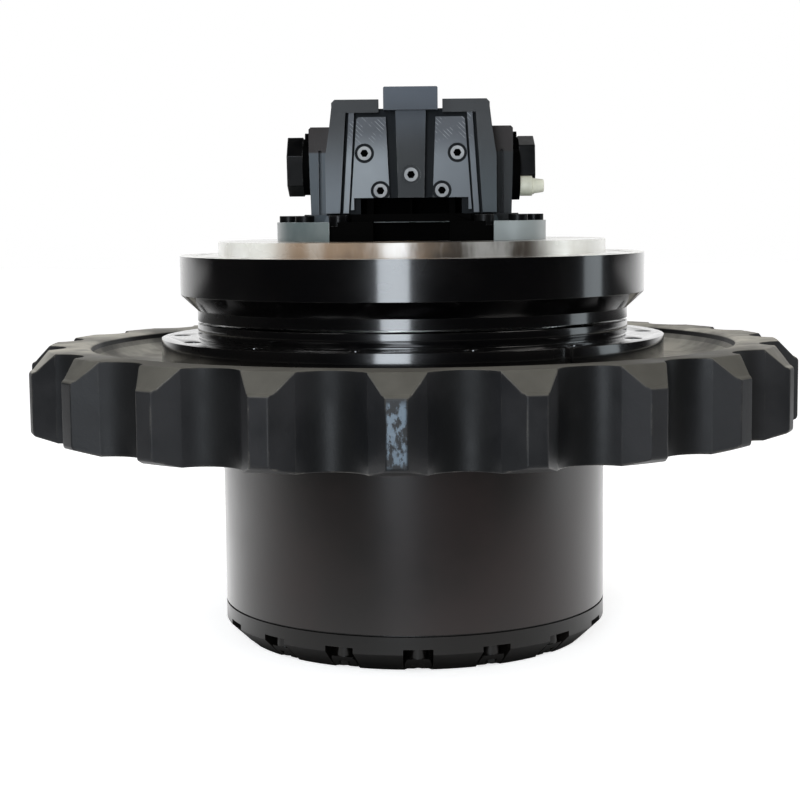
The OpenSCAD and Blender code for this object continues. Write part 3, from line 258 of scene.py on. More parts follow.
class Effects:
    """Shader groups that several finishes share."""

    WEAR = "Edge wear"
    DUST = "Settled dust"
    GRAIN = "Cast grain"
    CLOUD = "Cloudy tone"
    TURNED = "Turning marks"
    EDGE_TURN: Span = (0.004, 0.12)
    WEAR_SPOTS: Span = (0.42, 0.62)
    DUST_LEVEL: Span = (0.25, 0.95)
    DUST_PATCHES: Span = (0.32, 0.68)
    THIN_DUST = 0.3
    COARSE_SCALE = 0.12
    COARSE_DEPTH = 2.0
    CLOUD_EDGE: Span = (0.3, 0.7)
    CLOUD_MIDDLE = 0.5

    def build(self) -> None:
        """Builds every group."""
        self._group(self.WEAR, ("Width", "Amount", "Scale"), self._wear)
        self._group(self.DUST, ("Amount", "Scale"), self._dust)
        self._group(self.GRAIN, ("Scale", "Depth"), self._grain)
        self._group(self.CLOUD, ("Scale", "Contrast"), self._cloud)
        self._group(self.TURNED, ("Spacing", "Depth"), self._turned)

    def _group(self, name: str, inputs: Sequence[str],
               fill: Callable[[Graph, dict[str, Socket]], Socket]) -> None:
        """Makes one group with number inputs and one number output.

        Args:
            name: the group's name.
            inputs: names of its inputs.
            fill: adds the inner nodes and returns the result.
        """
        tree = bpy.data.node_groups.new(name, "ShaderNodeTree")
        for socket in inputs:
            tree.interface.new_socket(socket, in_out="INPUT", socket_type="NodeSocketFloat")
        tree.interface.new_socket("Value", in_out="OUTPUT", socket_type="NodeSocketFloat")
        graph = Graph(tree)
        start = graph.node("NodeGroupInput")
        result = fill(graph, {socket.name: socket for socket in start.outputs if socket.name})
        graph.feed(graph.node("NodeGroupOutput").inputs[0], result)

    @staticmethod
    def _wear(graph: Graph, given: dict[str, Socket]) -> Socket:
        """Bright where an edge is, broken up by noise.

        Args:
            graph: the group's graph.
            given: its inputs by name.

        Returns:
            The share of wear, 0 to 1.
        """
        rounded = graph.node("ShaderNodeBevel", samples=4)
        graph.feed(rounded.inputs["Radius"], given["Width"])
        dot = graph.node("ShaderNodeVectorMath", operation="DOT_PRODUCT")
        graph.feed(dot.inputs[0], rounded.outputs[0])
        graph.feed(dot.inputs[1], graph.facing())
        turn = graph.math("SUBTRACT", 1.0, dot.outputs["Value"])
        edge = graph.ramp(turn, *Effects.EDGE_TURN)
        spots = graph.ramp(graph.noise(given["Scale"], detail=5, rough=0.65), *Effects.WEAR_SPOTS)
        return graph.math("MULTIPLY", graph.math("MULTIPLY", edge, spots), given["Amount"], clamp=True)

    @staticmethod
    def _dust(graph: Graph, given: dict[str, Socket]) -> Socket:
        """More on faces that look up, in soft patches.

        Args:
            graph: the group's graph.
            given: its inputs by name.

        Returns:
            The share of dust, 0 to 1.
        """
        up = graph.split(graph.facing())[2]
        level = graph.ramp(up, *Effects.DUST_LEVEL)
        patches = graph.ramp(graph.noise(given["Scale"], detail=4, rough=0.6), *Effects.DUST_PATCHES,
                             to_low=Effects.THIN_DUST)
        return graph.math("MULTIPLY", graph.math("MULTIPLY", level, patches), given["Amount"], clamp=True)

    @staticmethod
    def _grain(graph: Graph, given: dict[str, Socket]) -> Socket:
        """Height of a cast skin: fine lumps on coarse ones.

        Args:
            graph: the group's graph.
            given: its inputs by name.

        Returns:
            The height, in metres.
        """
        fine = graph.noise(given["Scale"], detail=3, rough=0.6)
        coarse_scale = graph.math("MULTIPLY", given["Scale"], Effects.COARSE_SCALE)
        coarse = graph.noise(coarse_scale, detail=2, rough=0.5)
        both = graph.math("MULTIPLY_ADD", coarse, Effects.COARSE_DEPTH, fine)
        return graph.math("MULTIPLY", both, given["Depth"])

    @staticmethod
    def _cloud(graph: Graph, given: dict[str, Socket]) -> Socket:
        """Soft patches from 0 to 1, with the given contrast.

        Args:
            graph: the group's graph.
            given: its inputs by name.

        Returns:
            The patches.
        """
        patch = graph.ramp(graph.noise(given["Scale"], detail=4, rough=0.55), *Effects.CLOUD_EDGE)
        centred = graph.math("SUBTRACT", patch, Effects.CLOUD_MIDDLE)
        spread = graph.math("MULTIPLY", centred, given["Contrast"])
        return graph.math("ADD", spread, Effects.CLOUD_MIDDLE, clamp=True)

    @staticmethod
    def _turned(graph: Graph, given: dict[str, Socket]) -> Socket:
        """Height of the fine rings that a lathe tool leaves round the Z axis.

        Args:
            graph: the group's graph.
            given: its inputs by name.

        Returns:
            The height, in metres.
        """
        across, along, up = graph.split(graph.place())
        path = graph.math("ADD", up, graph.radius(across, along))
        wave = graph.math("SINE", graph.math("DIVIDE", path, given["Spacing"]))
        return graph.math("MULTIPLY", wave, given["Depth"])


class Surface(Enum):
    """What a finish is made of."""

    PAINT = "paint"
    METAL = "metal"
    POLYMER = "polymer"


@dataclass(frozen=True)
class Finish:
    """One material, from its tones to its wear."""

    name: str
    surface: Surface
    tone: Colour
    second_tone: Colour
    roughness: float
    roughness_spread: float = 0.1
    specular: float = 0.5
    coat: float = 0.0
    coat_rough: float = 0.05
    cloud_scale: float = 9.0
    cloud_contrast: float = 1.0
    grain_scale: float = 900.0
    grain_depth: float = 0.0001
    wear: float = 0.0
    wear_tone: Colour = (0.25, 0.24, 0.22)
    wear_width: float = 0.0015
    wear_scale: float = 60.0
    dust: float = 0.0
    wear_rough: float = -0.1
    dust_tone: Colour = (0.12, 0.11, 0.095)
    dust_scale: float = 14.0
    dust_rough: float = 0.25
    turned: float = 0.0
    ring_spacing: float = 0.00035

    def build(self) -> bpy.types.Material:
        """Builds the material, or returns it if it is there.

        Returns:
            The material.
        """
        if self.name in bpy.data.materials:
            return bpy.data.materials[self.name]
        material = bpy.data.materials.new(self.name)
        material.use_nodes = True
        graph = Graph(material.node_tree)
        shader = material.node_tree.nodes["Principled BSDF"]
        cloud = graph.group(Effects.CLOUD, Scale=self.cloud_scale, Contrast=self.cloud_contrast)
        colour = graph.blend(cloud, self.tone, self.second_tone)
        rough = graph.ramp(cloud, 0.0, 1.0, self.roughness - self.roughness_spread / 2,
                           self.roughness + self.roughness_spread / 2)
        if self.dust:
            dust = graph.group(Effects.DUST, Amount=self.dust, Scale=self.dust_scale)
            colour = graph.blend(dust, colour, self.dust_tone)
            rough = graph.math("MULTIPLY_ADD", dust, self.dust_rough, rough, clamp=True)
        if self.wear:
            wear = graph.group(Effects.WEAR, Width=self.wear_width, Amount=self.wear, Scale=self.wear_scale)
            colour = graph.blend(wear, colour, self.wear_tone)
            rough = graph.math("MULTIPLY_ADD", wear, self.wear_rough, rough, clamp=True)
        colour, rough = self.mark(graph, colour, rough)
        height = graph.group(Effects.GRAIN, Scale=self.grain_scale, Depth=self.grain_depth)
        if self.turned:
            rings = graph.group(Effects.TURNED, Spacing=self.ring_spacing, Depth=self.turned)
            height = graph.math("ADD", height, rings)
        bump = graph.node("ShaderNodeBump")
        bump.inputs["Strength"].default_value = 1.0
        bump.inputs["Distance"].default_value = 1.0
        graph.feed(bump.inputs["Height"], height)
        graph.feed(shader.inputs["Base Color"], colour)
        graph.feed(shader.inputs["Roughness"], rough)
        graph.feed(shader.inputs["Normal"], bump.outputs["Normal"])
        shader.inputs["Metallic"].default_value = 1.0 if self.surface is Surface.METAL else 0.0
        shader.inputs["Specular IOR Level"].default_value = self.specular
        shader.inputs["Coat Weight"].default_value = self.coat
        shader.inputs["Coat Roughness"].default_value = self.coat_rough
        return material

    def mark(self, graph: Graph, colour: Socket, rough: Socket) -> tuple[Socket, Socket]:
        """Adds marks of a finish's own.

        Args:
            graph: the material's graph.
            colour: the colour so far.
            rough: the roughness so far.

        Returns:
            The colour and the roughness with the marks.
        """
        return colour, rough


@dataclass(frozen=True)
class GradedFinish(Finish):
    """A finish that changes upwards and to the right, and can have slanted scratches near its top. The change
    to the right is painted light and shade; the change upwards is painted light and shade on most finishes
    and a real second paint on the side bodies.
    """

    low_z: float = 0.44
    high_z: float = 0.5
    # colour towards the top: painted light and shade on most finishes, a real brown paint on the side bodies
    shade: Colour = srgb(84, 89, 96)
    left_x: float = -0.05
    right_x: float = 0.06
    # colour towards the right: painted light and shade, darker on the block, paler on the flange
    right_shade: Colour = srgb(84, 89, 96)
    right_share: float = 0.0
    scratched: float = 0.0
    scratch: Colour = srgb(150, 154, 158)
    scratch_rate: float = 1500.0
    scratch_edge: Span = (0.75, 0.98)
    scratch_scale: float = 90.0
    scratch_spots: Span = (0.5, 0.6)

    def mark(self, graph: Graph, colour: Socket, rough: Socket) -> tuple[Socket, Socket]:
        """Adds the painted light and shade and the scratches.

        Args:
            graph: the material's graph.
            colour: the colour so far.
            rough: the roughness so far.

        Returns:
            The colour with the painted light and shade and the scratches, and the roughness.
        """
        across, _, up = graph.split(graph.place())
        # painted light and shade towards the right
        right = graph.ramp(across, self.left_x, self.right_x, 0.0, self.right_share)
        colour = graph.blend(right, colour, self.right_shade)
        # towards the top: painted light and shade, and the side bodies' real brown paint
        share = graph.ramp(up, self.low_z, self.high_z)
        colour = graph.blend(share, colour, self.shade)
        if self.scratched:
            slant = graph.math("ADD", across, up)
            wave = graph.math("SINE", graph.math("MULTIPLY", slant, self.scratch_rate))
            spots = graph.ramp(graph.noise(self.scratch_scale, detail=4), *self.scratch_spots)
            lines = graph.math("MULTIPLY", graph.ramp(wave, *self.scratch_edge), spots)
            marks = graph.math("MULTIPLY", lines, graph.math("MULTIPLY", share, self.scratched))
            colour = graph.blend(marks, colour, self.scratch)
        return colour, rough


@dataclass(frozen=True)
class SmearedFinish(Finish):
    """A toothed ring's finish: painted shade in the tooth gaps, a darker tone on level faces in front, and a
    pale smear on one tooth.
    """

    smear_centre: Point = (0, 0, 0)
    smear_half: Point = (0.01, 0.01, 0.01)
    smear_tone: Colour = (0.5, 0.6, 0.65)
    smear_core: float = 0.7
    smear_rough: float = -0.15
    fleck_scale: float = 160.0
    fleck_stretch: Point = (1, 1, 0.5)
    fleck_edge: Span = (0.46, 0.56)
    upright_to_level: Span = (0.25, 0.6)
    # tooth-gap walls between gap_r and land_r are darkened: painted shade
    gap_r: float = 0.332
    land_r: float = 0.356
    gap_shade_share: float = 0.9
    gap_painted_shade: Colour = srgb(5, 6, 7)
    front_tone: Colour = srgb(60, 58, 52)
    front_y: float = -0.24
    side_y: float = -0.1
    front_share: float = 0.9

    def mark(self, graph: Graph, colour: Socket, rough: Socket) -> tuple[Socket, Socket]:
        """Adds the darker tone on level faces in front, the painted shade in the tooth gaps and the smear.

        Args:
            graph: the material's graph.
            colour: the colour so far.
            rough: the roughness so far.

        Returns:
            The colour and the roughness with all three.
        """
        place = graph.split(graph.place())
        across, along, _ = place
        up = graph.split(graph.facing())[2]
        # level faces in front, towards -Y, are blended towards a darker tone
        front = graph.math("MULTIPLY", graph.ramp(up, *self.upright_to_level, 0.0, self.front_share),
                           graph.ramp(along, self.front_y, self.side_y, 1.0, 0.0))
        colour = graph.blend(front, colour, self.front_tone)
        # upright walls of the tooth gaps darken towards the gap floor: painted shade
        wall = graph.ramp(graph.math("ABSOLUTE", up), *self.upright_to_level, 1.0, 0.0)
        depth = graph.ramp(graph.radius(across, along), self.gap_r, self.land_r, self.gap_shade_share, 0.0)
        colour = graph.blend(graph.math("MULTIPLY", wall, depth), colour, self.gap_painted_shade)
        flecks = graph.noise(self.fleck_scale, detail=6, rough=0.7, stretch=self.fleck_stretch)
        share = graph.ramp(flecks, *self.fleck_edge)
        for part, centre, half in zip(place, self.smear_centre, self.smear_half):
            away = graph.math("ABSOLUTE", graph.math("SUBTRACT", part, centre))
            share = graph.math("MULTIPLY", share, graph.ramp(away, half, half * self.smear_core))
        rough = graph.math("MULTIPLY_ADD", share, self.smear_rough, rough)
        return graph.blend(share, colour, self.smear_tone), rough


@dataclass(frozen=True)
class PaintedReflectionFinish(Finish):
    """A finish whose middle, seen from the front, carries a painted brownish reflection in patches."""

    painted_reflection: Colour = srgb(142, 122, 102)
    second_painted_reflection: Colour = srgb(66, 60, 54)
    full_x: float = 0.1
    clear_x: float = 0.14
    patch_scale: float = 26.0
    patch_stretch: Point = (1, 1, 0.3)
    patch_edge: Span = (0.36, 0.6)
    patch_share: float = 0.3
    even_share: float = 0.7
    shift_scale: float = 17.0
    shift_x: float = 0.2
    first_to_second_x: Span = (0.05, 0.15)

    def mark(self, graph: Graph, colour: Socket, rough: Socket) -> tuple[Socket, Socket]:
        """Adds the painted reflection.

        Args:
            graph: the material's graph.
            colour: the colour so far.
            rough: the roughness so far.

        Returns:
            The colour and the roughness with the painted reflection.
        """
        across = graph.split(graph.place())[0]
        share = graph.ramp(graph.math("ABSOLUTE", across), self.full_x, self.clear_x, 1.0, 0.0)
        lumps = graph.noise(self.patch_scale, detail=4, rough=0.6, stretch=self.patch_stretch)
        patches = graph.ramp(lumps, *self.patch_edge)
        shifted = graph.math("MULTIPLY_ADD", graph.noise(self.shift_scale), self.shift_x, across)
        tone = graph.blend(graph.ramp(shifted, *self.first_to_second_x), self.painted_reflection, self.second_painted_reflection)
        full = graph.math("MULTIPLY_ADD", patches, self.patch_share, self.even_share)
        cover = graph.math("MULTIPLY", share, full)
        return graph.blend(cover, colour, tone), rough


class Palette:
    """All finishes of the drive, by what they cover."""

    gloss_black = Finish("gloss_black_paint", Surface.PAINT, srgb(2, 2, 3), srgb(5, 4, 4), 0.24, 0.08,
                         specular=0.2, coat=1.0, coat_rough=0.1, grain_scale=500, grain_depth=0.000004,
                         wear=0.25, wear_tone=srgb(80, 78, 74), wear_width=0.0012, dust=0.05,
                         dust_tone=srgb(60, 57, 52))
    drum_black = Finish("drum_black_paint", Surface.PAINT, srgb(13, 9, 8), srgb(32, 20, 18), 0.34, 0.12,
                        specular=0.3, coat=0.42, coat_rough=0.16, grain_scale=420, grain_depth=0.00003,
                        wear=0.2, wear_tone=srgb(80, 76, 72), cloud_scale=5.0)
    cover_black = Finish("cover_black_paint", Surface.PAINT, srgb(10, 9, 8), srgb(22, 19, 17), 0.36, 0.12,
                         specular=0.26, coat=0.2, coat_rough=0.16, grain_scale=420, grain_depth=0.00003,
                         wear=0.2, wear_tone=srgb(80, 76, 72), cloud_scale=7.0)
    forged = SmearedFinish("forged_sprocket", Surface.PAINT, srgb(22, 23, 25), srgb(34, 34, 36), 0.5, 0.16,
                           specular=0.3, grain_scale=380, grain_depth=0.0001, wear=0.85,
                           wear_tone=srgb(124, 120, 112), wear_width=0.0025, wear_scale=45,
                           dust=1.0, dust_tone=srgb(190, 186, 175), cloud_scale=12,
                           smear_centre=(-0.0129, -0.3708, 0.24), smear_half=(0.009, 0.012, 0.029),
                           smear_tone=srgb(84, 98, 110))
    # the darker top and the darker right side of the block are painted shade
    slate = GradedFinish("slate_block_paint", Surface.PAINT, srgb(82, 89, 96), srgb(96, 103, 109), 0.5, 0.12,
                         specular=0.3, grain_scale=620, grain_depth=0.00008, wear=0.5,
                         wear_tone=srgb(120, 122, 122), wear_width=0.0012, dust=0.3,
                         dust_tone=srgb(70, 68, 64), low_z=0.415, high_z=0.5, shade=srgb(44, 46, 48),
                         right_shade=srgb(50, 58, 62), right_share=0.9)
    # the paler top, on the bar above the rib, is painted light
    rib = GradedFinish("dark_rib_paint", Surface.PAINT, srgb(20, 23, 25), srgb(32, 36, 39), 0.5, 0.12,
                       specular=0.3, grain_scale=620, grain_depth=0.00008, wear=0.4,
                       wear_tone=srgb(110, 112, 112), wear_width=0.0012, low_z=0.46, high_z=0.53,
                       shade=srgb(66, 73, 82))
    # darkened recess walls of the port block: painted shade
    groove_painted_shade = Finish("painted_groove_shade", Surface.PAINT, srgb(14, 17, 20), srgb(26, 30, 34), 0.6, 0.12,
                    specular=0.15, grain_scale=620, grain_depth=0.00008)
    # the darker top and the darker right side of the pads are painted shade; the scratches are real marks
    pad = GradedFinish("milled_pad_paint", Surface.PAINT, srgb(106, 113, 119), srgb(124, 131, 136),
                       0.44, 0.12, specular=0.35, grain_scale=700, grain_depth=0.00005, wear=0.4,
                       wear_tone=srgb(150, 152, 152), wear_width=0.001, low_z=0.455, high_z=0.488,
                       shade=srgb(62, 66, 72), right_shade=srgb(86, 92, 98), right_share=1.0,
                       scratched=0.5)
    # the brown top is a real second paint; the darker right side is painted shade
    brown_valve = GradedFinish("side_body_paint", Surface.PAINT, srgb(60, 68, 74), srgb(72, 79, 85), 0.5, 0.1,
                               specular=0.3, grain_scale=620, grain_depth=0.00008, wear=0.4,
                               wear_tone=srgb(120, 112, 104), wear_width=0.001, low_z=0.4665,
                               high_z=0.4685, shade=srgb(30, 22, 19), right_shade=srgb(24, 27, 29),
                               right_share=1.0)
    # near-black for cavities, undercuts, the seam and plug sockets: painted shade
    cavity_painted_shade = Finish("shaded_cavity_paint", Surface.PAINT, srgb(2, 2, 2), srgb(5, 5, 5), 0.8, 0.1,
                         specular=0.02, grain_scale=620, grain_depth=0.00008)
    # the paler right side of the flange is painted light
    zinc_grey = GradedFinish("grey_flange_metal", Surface.PAINT, srgb(86, 98, 99), srgb(106, 115, 115), 0.38,
                             0.16, specular=0.6, coat=0.1, grain_scale=800, grain_depth=0.00003, wear=0.5,
                             wear_tone=srgb(190, 196, 196), wear_width=0.001, turned=0.000006,
                             cloud_scale=24, low_z=0.9, high_z=1.0, left_x=-0.09, right_x=0.09,
                             right_shade=srgb(142, 150, 151), right_share=1.0)
    # the near-white diffuse tone stands in for the turned steel's bright reflection, a painted reflection,
    # and the brown middle is a painted reflection too
    turned_steel = PaintedReflectionFinish("turned_steel", Surface.PAINT, srgb(242, 242, 238), srgb(216, 214, 206),
                                 0.24, 0.1, specular=0.6, coat=0.3, grain_scale=900, grain_depth=0.000004,
                                 turned=0.000003, cloud_scale=14)
    plug_ring = Finish("satin_plug_steel", Surface.PAINT, srgb(120, 123, 126), srgb(146, 148, 150), 0.5, 0.1,
                       specular=0.4, grain_scale=1200, grain_depth=0.00001, cloud_scale=60)
    ground_steel = Finish("ground_steel", Surface.METAL, srgb(190, 190, 188), srgb(160, 160, 158), 0.28, 0.1,
                          grain_scale=1200, grain_depth=0.00001, cloud_scale=30)
    cast_steel = Finish("cast_steel", Surface.METAL, srgb(120, 118, 114), srgb(96, 94, 92), 0.45, 0.12,
                        grain_scale=500, grain_depth=0.00006, cloud_scale=20)
    black_oxide = Finish("black_oxide_steel", Surface.PAINT, srgb(4, 4, 5), srgb(9, 9, 9), 0.36, 0.14,
                         specular=0.16, grain_scale=1500, grain_depth=0.00002, wear=0.35,
                         wear_tone=srgb(150, 150, 148), wear_width=0.0008, wear_scale=120, cloud_scale=40)
    bronze = Finish("bearing_bronze", Surface.METAL, srgb(188, 148, 92), srgb(160, 120, 72), 0.32, 0.1,
                    grain_scale=900, grain_depth=0.00002, cloud_scale=30)
    rubber = Finish("seal_rubber", Surface.POLYMER, srgb(22, 22, 22), srgb(30, 30, 30), 0.6, 0.1,
                    specular=0.3, grain_scale=1400, grain_depth=0.00003)
    cream = Finish("cream_plastic", Surface.POLYMER, srgb(208, 208, 192), srgb(180, 181, 164), 0.42, 0.1,
                   specular=0.45, grain_scale=900, grain_depth=0.00002, cloud_scale=50)


# Mesh work

def deselect() -> None:
    """Leaves edit mode and clears the selection."""
    if bpy.context.object and bpy.context.object.mode != "OBJECT":
        bpy.ops.object.mode_set(mode="OBJECT")
    bpy.ops.object.select_all(action="DESELECT")


def activate(piece: bpy.types.Object) -> None:
    """Selects one object alone and makes it active.

    Args:
        piece: the object.
    """
    deselect()
    piece.select_set(True)
    bpy.context.view_layer.objects.active = piece


def apply_modifier(piece: bpy.types.Object, kind: str, **settings: object) -> None:
    """Adds a modifier and applies it.

    Args:
        piece: the object to change.
        kind: the modifier's type.
        settings: its properties by name.
    """
    activate(piece)
    modifier = piece.modifiers.new(kind.title(), kind)
    for name, value in settings.items():
        setattr(modifier, name, value)
    bpy.ops.object.modifier_apply(modifier=modifier.name)


def bake_place(piece: bpy.types.Object) -> None:
    """Moves an object's place, turn and scale into its mesh."""
    activate(piece)
    bpy.ops.object.transform_apply(location=True, rotation=True, scale=True)


def smooth(piece: bpy.types.Object, flat: bool = True) -> None:
    """Shades a piece smooth, but for its sharp edges.

    Args:
        piece: the object to shade.
        flat: whether large faces stay flat beside rounded edges.
    """
    activate(piece)
    bpy.ops.object.shade_smooth_by_angle(angle=math.radians(SHARP_ANGLE))
    if flat:
        apply_modifier(piece, "WEIGHTED_NORMAL", keep_sharp=True)


class Part(Enum):
    """What is picked in a mesh."""

    POINTS = "vertices"
    FACES = "polygons"


def pick(piece: bpy.types.Object, kind: Part, test: Callable[..., bool]) -> None:
    """Opens the active piece in edit mode with only some of its points or faces selected.

    Args:
        piece: the active object.
        kind: what is picked.
        test: tells whether one point or face is selected.
    """
    bpy.ops.object.mode_set(mode="EDIT")
    bpy.ops.mesh.select_all(action="DESELECT")
    bpy.ops.object.mode_set(mode="OBJECT")
    for part in getattr(piece.data, kind.value):
        part.select = test(part)
    bpy.ops.object.mode_set(mode="EDIT")


def dress(piece: bpy.types.Object, finishes: Sequence[Finish], choose: Optional[Chooser] = None) -> None:
    """Gives a piece its finishes.

    Args:
        piece: the object to dress.
        finishes: one finish for each material slot.
        choose: picks a slot from a face's centre and normal.
    """
    piece.data.materials.clear()
    for finish in finishes:
        piece.data.materials.append(finish.build())
    for face in piece.data.polygons:
        face.material_index = choose(face.center, face.normal) if choose else 0


class Shop:
    """Makes the visible pieces and hangs them on the frame."""

    def __init__(self, frame: dict) -> None:
        """Keeps the loaded frame.
        """
        self.nodes: dict[str, bpy.types.Object] = frame["nodes"]
        record = frame["record"]
        self.body_of = {node: body for body, nodes in record["behaviour"]["bodies"].items() for node in nodes}
        self.slot_of = {part["node"]: part["material_slot"] for part in record["subparts"]}

    def skin(self, node: str, finishes: Sequence[Finish], width: float,
             choose: Optional[Chooser] = None, segments: int = 2, limit: float = SHARP_ANGLE,
             within: Optional[bpy.types.Object] = None, flat: bool = True) -> bpy.types.Object:
        """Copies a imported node, rounds its edges, dresses it and lets it stand for the node.

        Args:
            node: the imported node.
            finishes: one finish for each slot.
            width: the rounding of an edge, in metres.
            choose: picks a slot from a face's centre and normal.
            segments: steps across a rounded edge.
            limit: the least angle of an edge that is rounded, in degrees.
            within: a solid that the piece is cut to, used up by the cut.
            flat: whether large faces stay flat beside rounded edges.

        Returns:
            The new piece.
        """
        piece = self._copy(node, node + "_skin")
        if within:
            apply_modifier(piece, "BOOLEAN", operation="INTERSECT", object=within, solver="EXACT")
            activate(within)
            bpy.ops.object.delete()
        if width:
            apply_modifier(piece, "BEVEL", width=width, segments=segments, limit_method="ANGLE",
                           angle_limit=math.radians(limit), use_clamp_overlap=True, miter_outer="MITER_ARC")
        smooth(piece, flat)
        dress(piece, finishes, choose)
        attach(piece, self.body_of[node])
        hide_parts(node)
        LOG.info("%s: skin with %d faces", node, len(piece.data.polygons))
        return piece

    def finish(self, nodes: Iterable[str], finish: Finish) -> None:
        """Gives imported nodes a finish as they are.

        Args:
            nodes: their names.
            finish: the finish.
        """
        for node in nodes:
            dress(self.nodes[node], [finish])
            LOG.info("%s: dressed with %s", node, finish.name)

    def spring(self, node: str, name: str, finish: Finish, moving: str, outward: Point) -> bpy.types.Object:
        """Copies the side of a packed spring that gives way between the frame and a sliding body.

        Args:
            node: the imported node.
            name: the new piece's name.
            finish: its finish.
            moving: the body that the spring's inner end follows.
            outward: the direction of its still end, also the side that is kept.

        Returns:
            The new piece.
        """
        along = Vector(outward)
        piece = self._copy(node, name)
        pick(piece, Part.POINTS, lambda point: point.co.dot(along) < 0)
        bpy.ops.mesh.delete(type="VERT")
        bpy.ops.object.mode_set(mode="OBJECT")
        smooth(piece)
        dress(piece, [finish])
        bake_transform(piece)
        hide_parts(node)
        LOG.info("%s: flexes between %s and %s", name, self.body_of[node], moving)
        return piece

    def _copy(self, node: str, name: str) -> bpy.types.Object:
        """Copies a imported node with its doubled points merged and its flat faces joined.

        Args:
            node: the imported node.
            name: the copy's name.

        Returns:
            The copy, active.
        """
        piece = bpy.data.objects.new(name, self.nodes[node].data.copy())
        bpy.context.scene.collection.objects.link(piece)
        activate(piece)
        bpy.ops.object.mode_set(mode="EDIT")
        bpy.ops.mesh.select_all(action="SELECT")
        bpy.ops.mesh.remove_doubles(threshold=MERGE_WITHIN)
        bpy.ops.mesh.dissolve_limited(angle_limit=math.radians(FLAT_ANGLE))
        bpy.ops.object.mode_set(mode="OBJECT")
        if piece.data.has_custom_normals:
            bpy.ops.mesh.customdata_custom_splitnormals_clear()
        return piece


# Sub-assemblies

@dataclass
class GearCase:
    """Cover, drum and hub with their screws and plugs."""

    cover_edge: float = 0.3 * MM
    drum_edge: float = 0.4 * MM
    hub_edge: float = 1.2 * MM
    cover_bolt_edge: float = 0.4 * MM
    plug_edge: float = 0.6 * MM
    sprocket_bolt_edge: float = 0.7 * MM
    seam_low: float = 0.1
    seam_high: float = 0.95
    outline_r: float = 186.2 * MM
    outline_foot_r: float = 167.2 * MM
    outline_bevel_h: float = 18.0 * MM
    outline_h: float = 230.0 * MM
    outline_sides: int = 256

    def build(self, shop: Shop) -> None:
        """Makes the case.

        Args:
            shop: where the pieces are made.
        """
        # faces of the cover that tilt upward, such as the chamfer at the seam, get the near-black cavity
        # finish: painted shade
        shop.skin("cover", [Palette.cover_black, Palette.cavity_painted_shade], self.cover_edge,
                  choose=lambda centre, normal: int(self.seam_low < normal.z < self.seam_high))
        shop.skin("ring_gear", [Palette.drum_black], self.drum_edge)
        shop.skin("hub", [Palette.gloss_black], self.hub_edge, flat=False)
        shop.skin("cover_bolts", [Palette.cover_black], self.cover_bolt_edge, within=self._outline())
        shop.skin("cover_plugs", [Palette.black_oxide], self.plug_edge)
        shop.skin("sprocket_bolts", [Palette.black_oxide], self.sprocket_bolt_edge)

    def _outline(self) -> bpy.types.Object:
        """Makes the outline of cover and drum, to which the screws' wide heads are cut flush.

        Returns:
            A solid of revolution with the cover's bevelled foot.
        """
        deselect()
        bpy.ops.mesh.primitive_cone_add(vertices=self.outline_sides, radius1=self.outline_foot_r,
                                        radius2=self.outline_r, depth=self.outline_bevel_h,
                                        location=(0, 0, self.outline_bevel_h / 2))
        outline = bpy.context.object
        bake_place(outline)
        pick(outline, Part.FACES, lambda face: face.normal.z > LOOKS_UP)
        rise = self.outline_h - self.outline_bevel_h
        bpy.ops.mesh.extrude_region_move(TRANSFORM_OT_translate={"value": (0, 0, rise)})
        bpy.ops.object.mode_set(mode="OBJECT")
        return outline


@dataclass
class SprocketRing:
    """The toothed ring with its worn edges."""

    edge: float = 3.5 * MM
    edge_steps: int = 3
    edge_limit: float = 28

    def build(self, shop: Shop) -> None:
        """Makes the ring.

        Args:
            shop: where the pieces are made.
        """
        shop.skin("sprocket", [Palette.forged], self.edge, segments=self.edge_steps, limit=self.edge_limit)


@dataclass
class FrameSpindle:
    """The still spindle with its bright pilot."""

    edge: float = 1.5 * MM
    bright_above: float = 0.371

    def build(self, shop: Shop) -> None:
        """Makes the spindle.

        Args:
            shop: where the pieces are made.
        """
        shop.skin("spindle", [Palette.gloss_black, Palette.turned_steel], self.edge,
                  choose=lambda centre, normal: int(centre.z > self.bright_above))


class BlockSlot(IntEnum):
    """The slots of the port block's finishes, in their order."""

    SLATE = 0
    PAD = 1
    SIDE = 2
    SHADE = 3
    RIB = 4
    # near-black walls of recesses: painted shade
    GROOVE_SHADE = 5


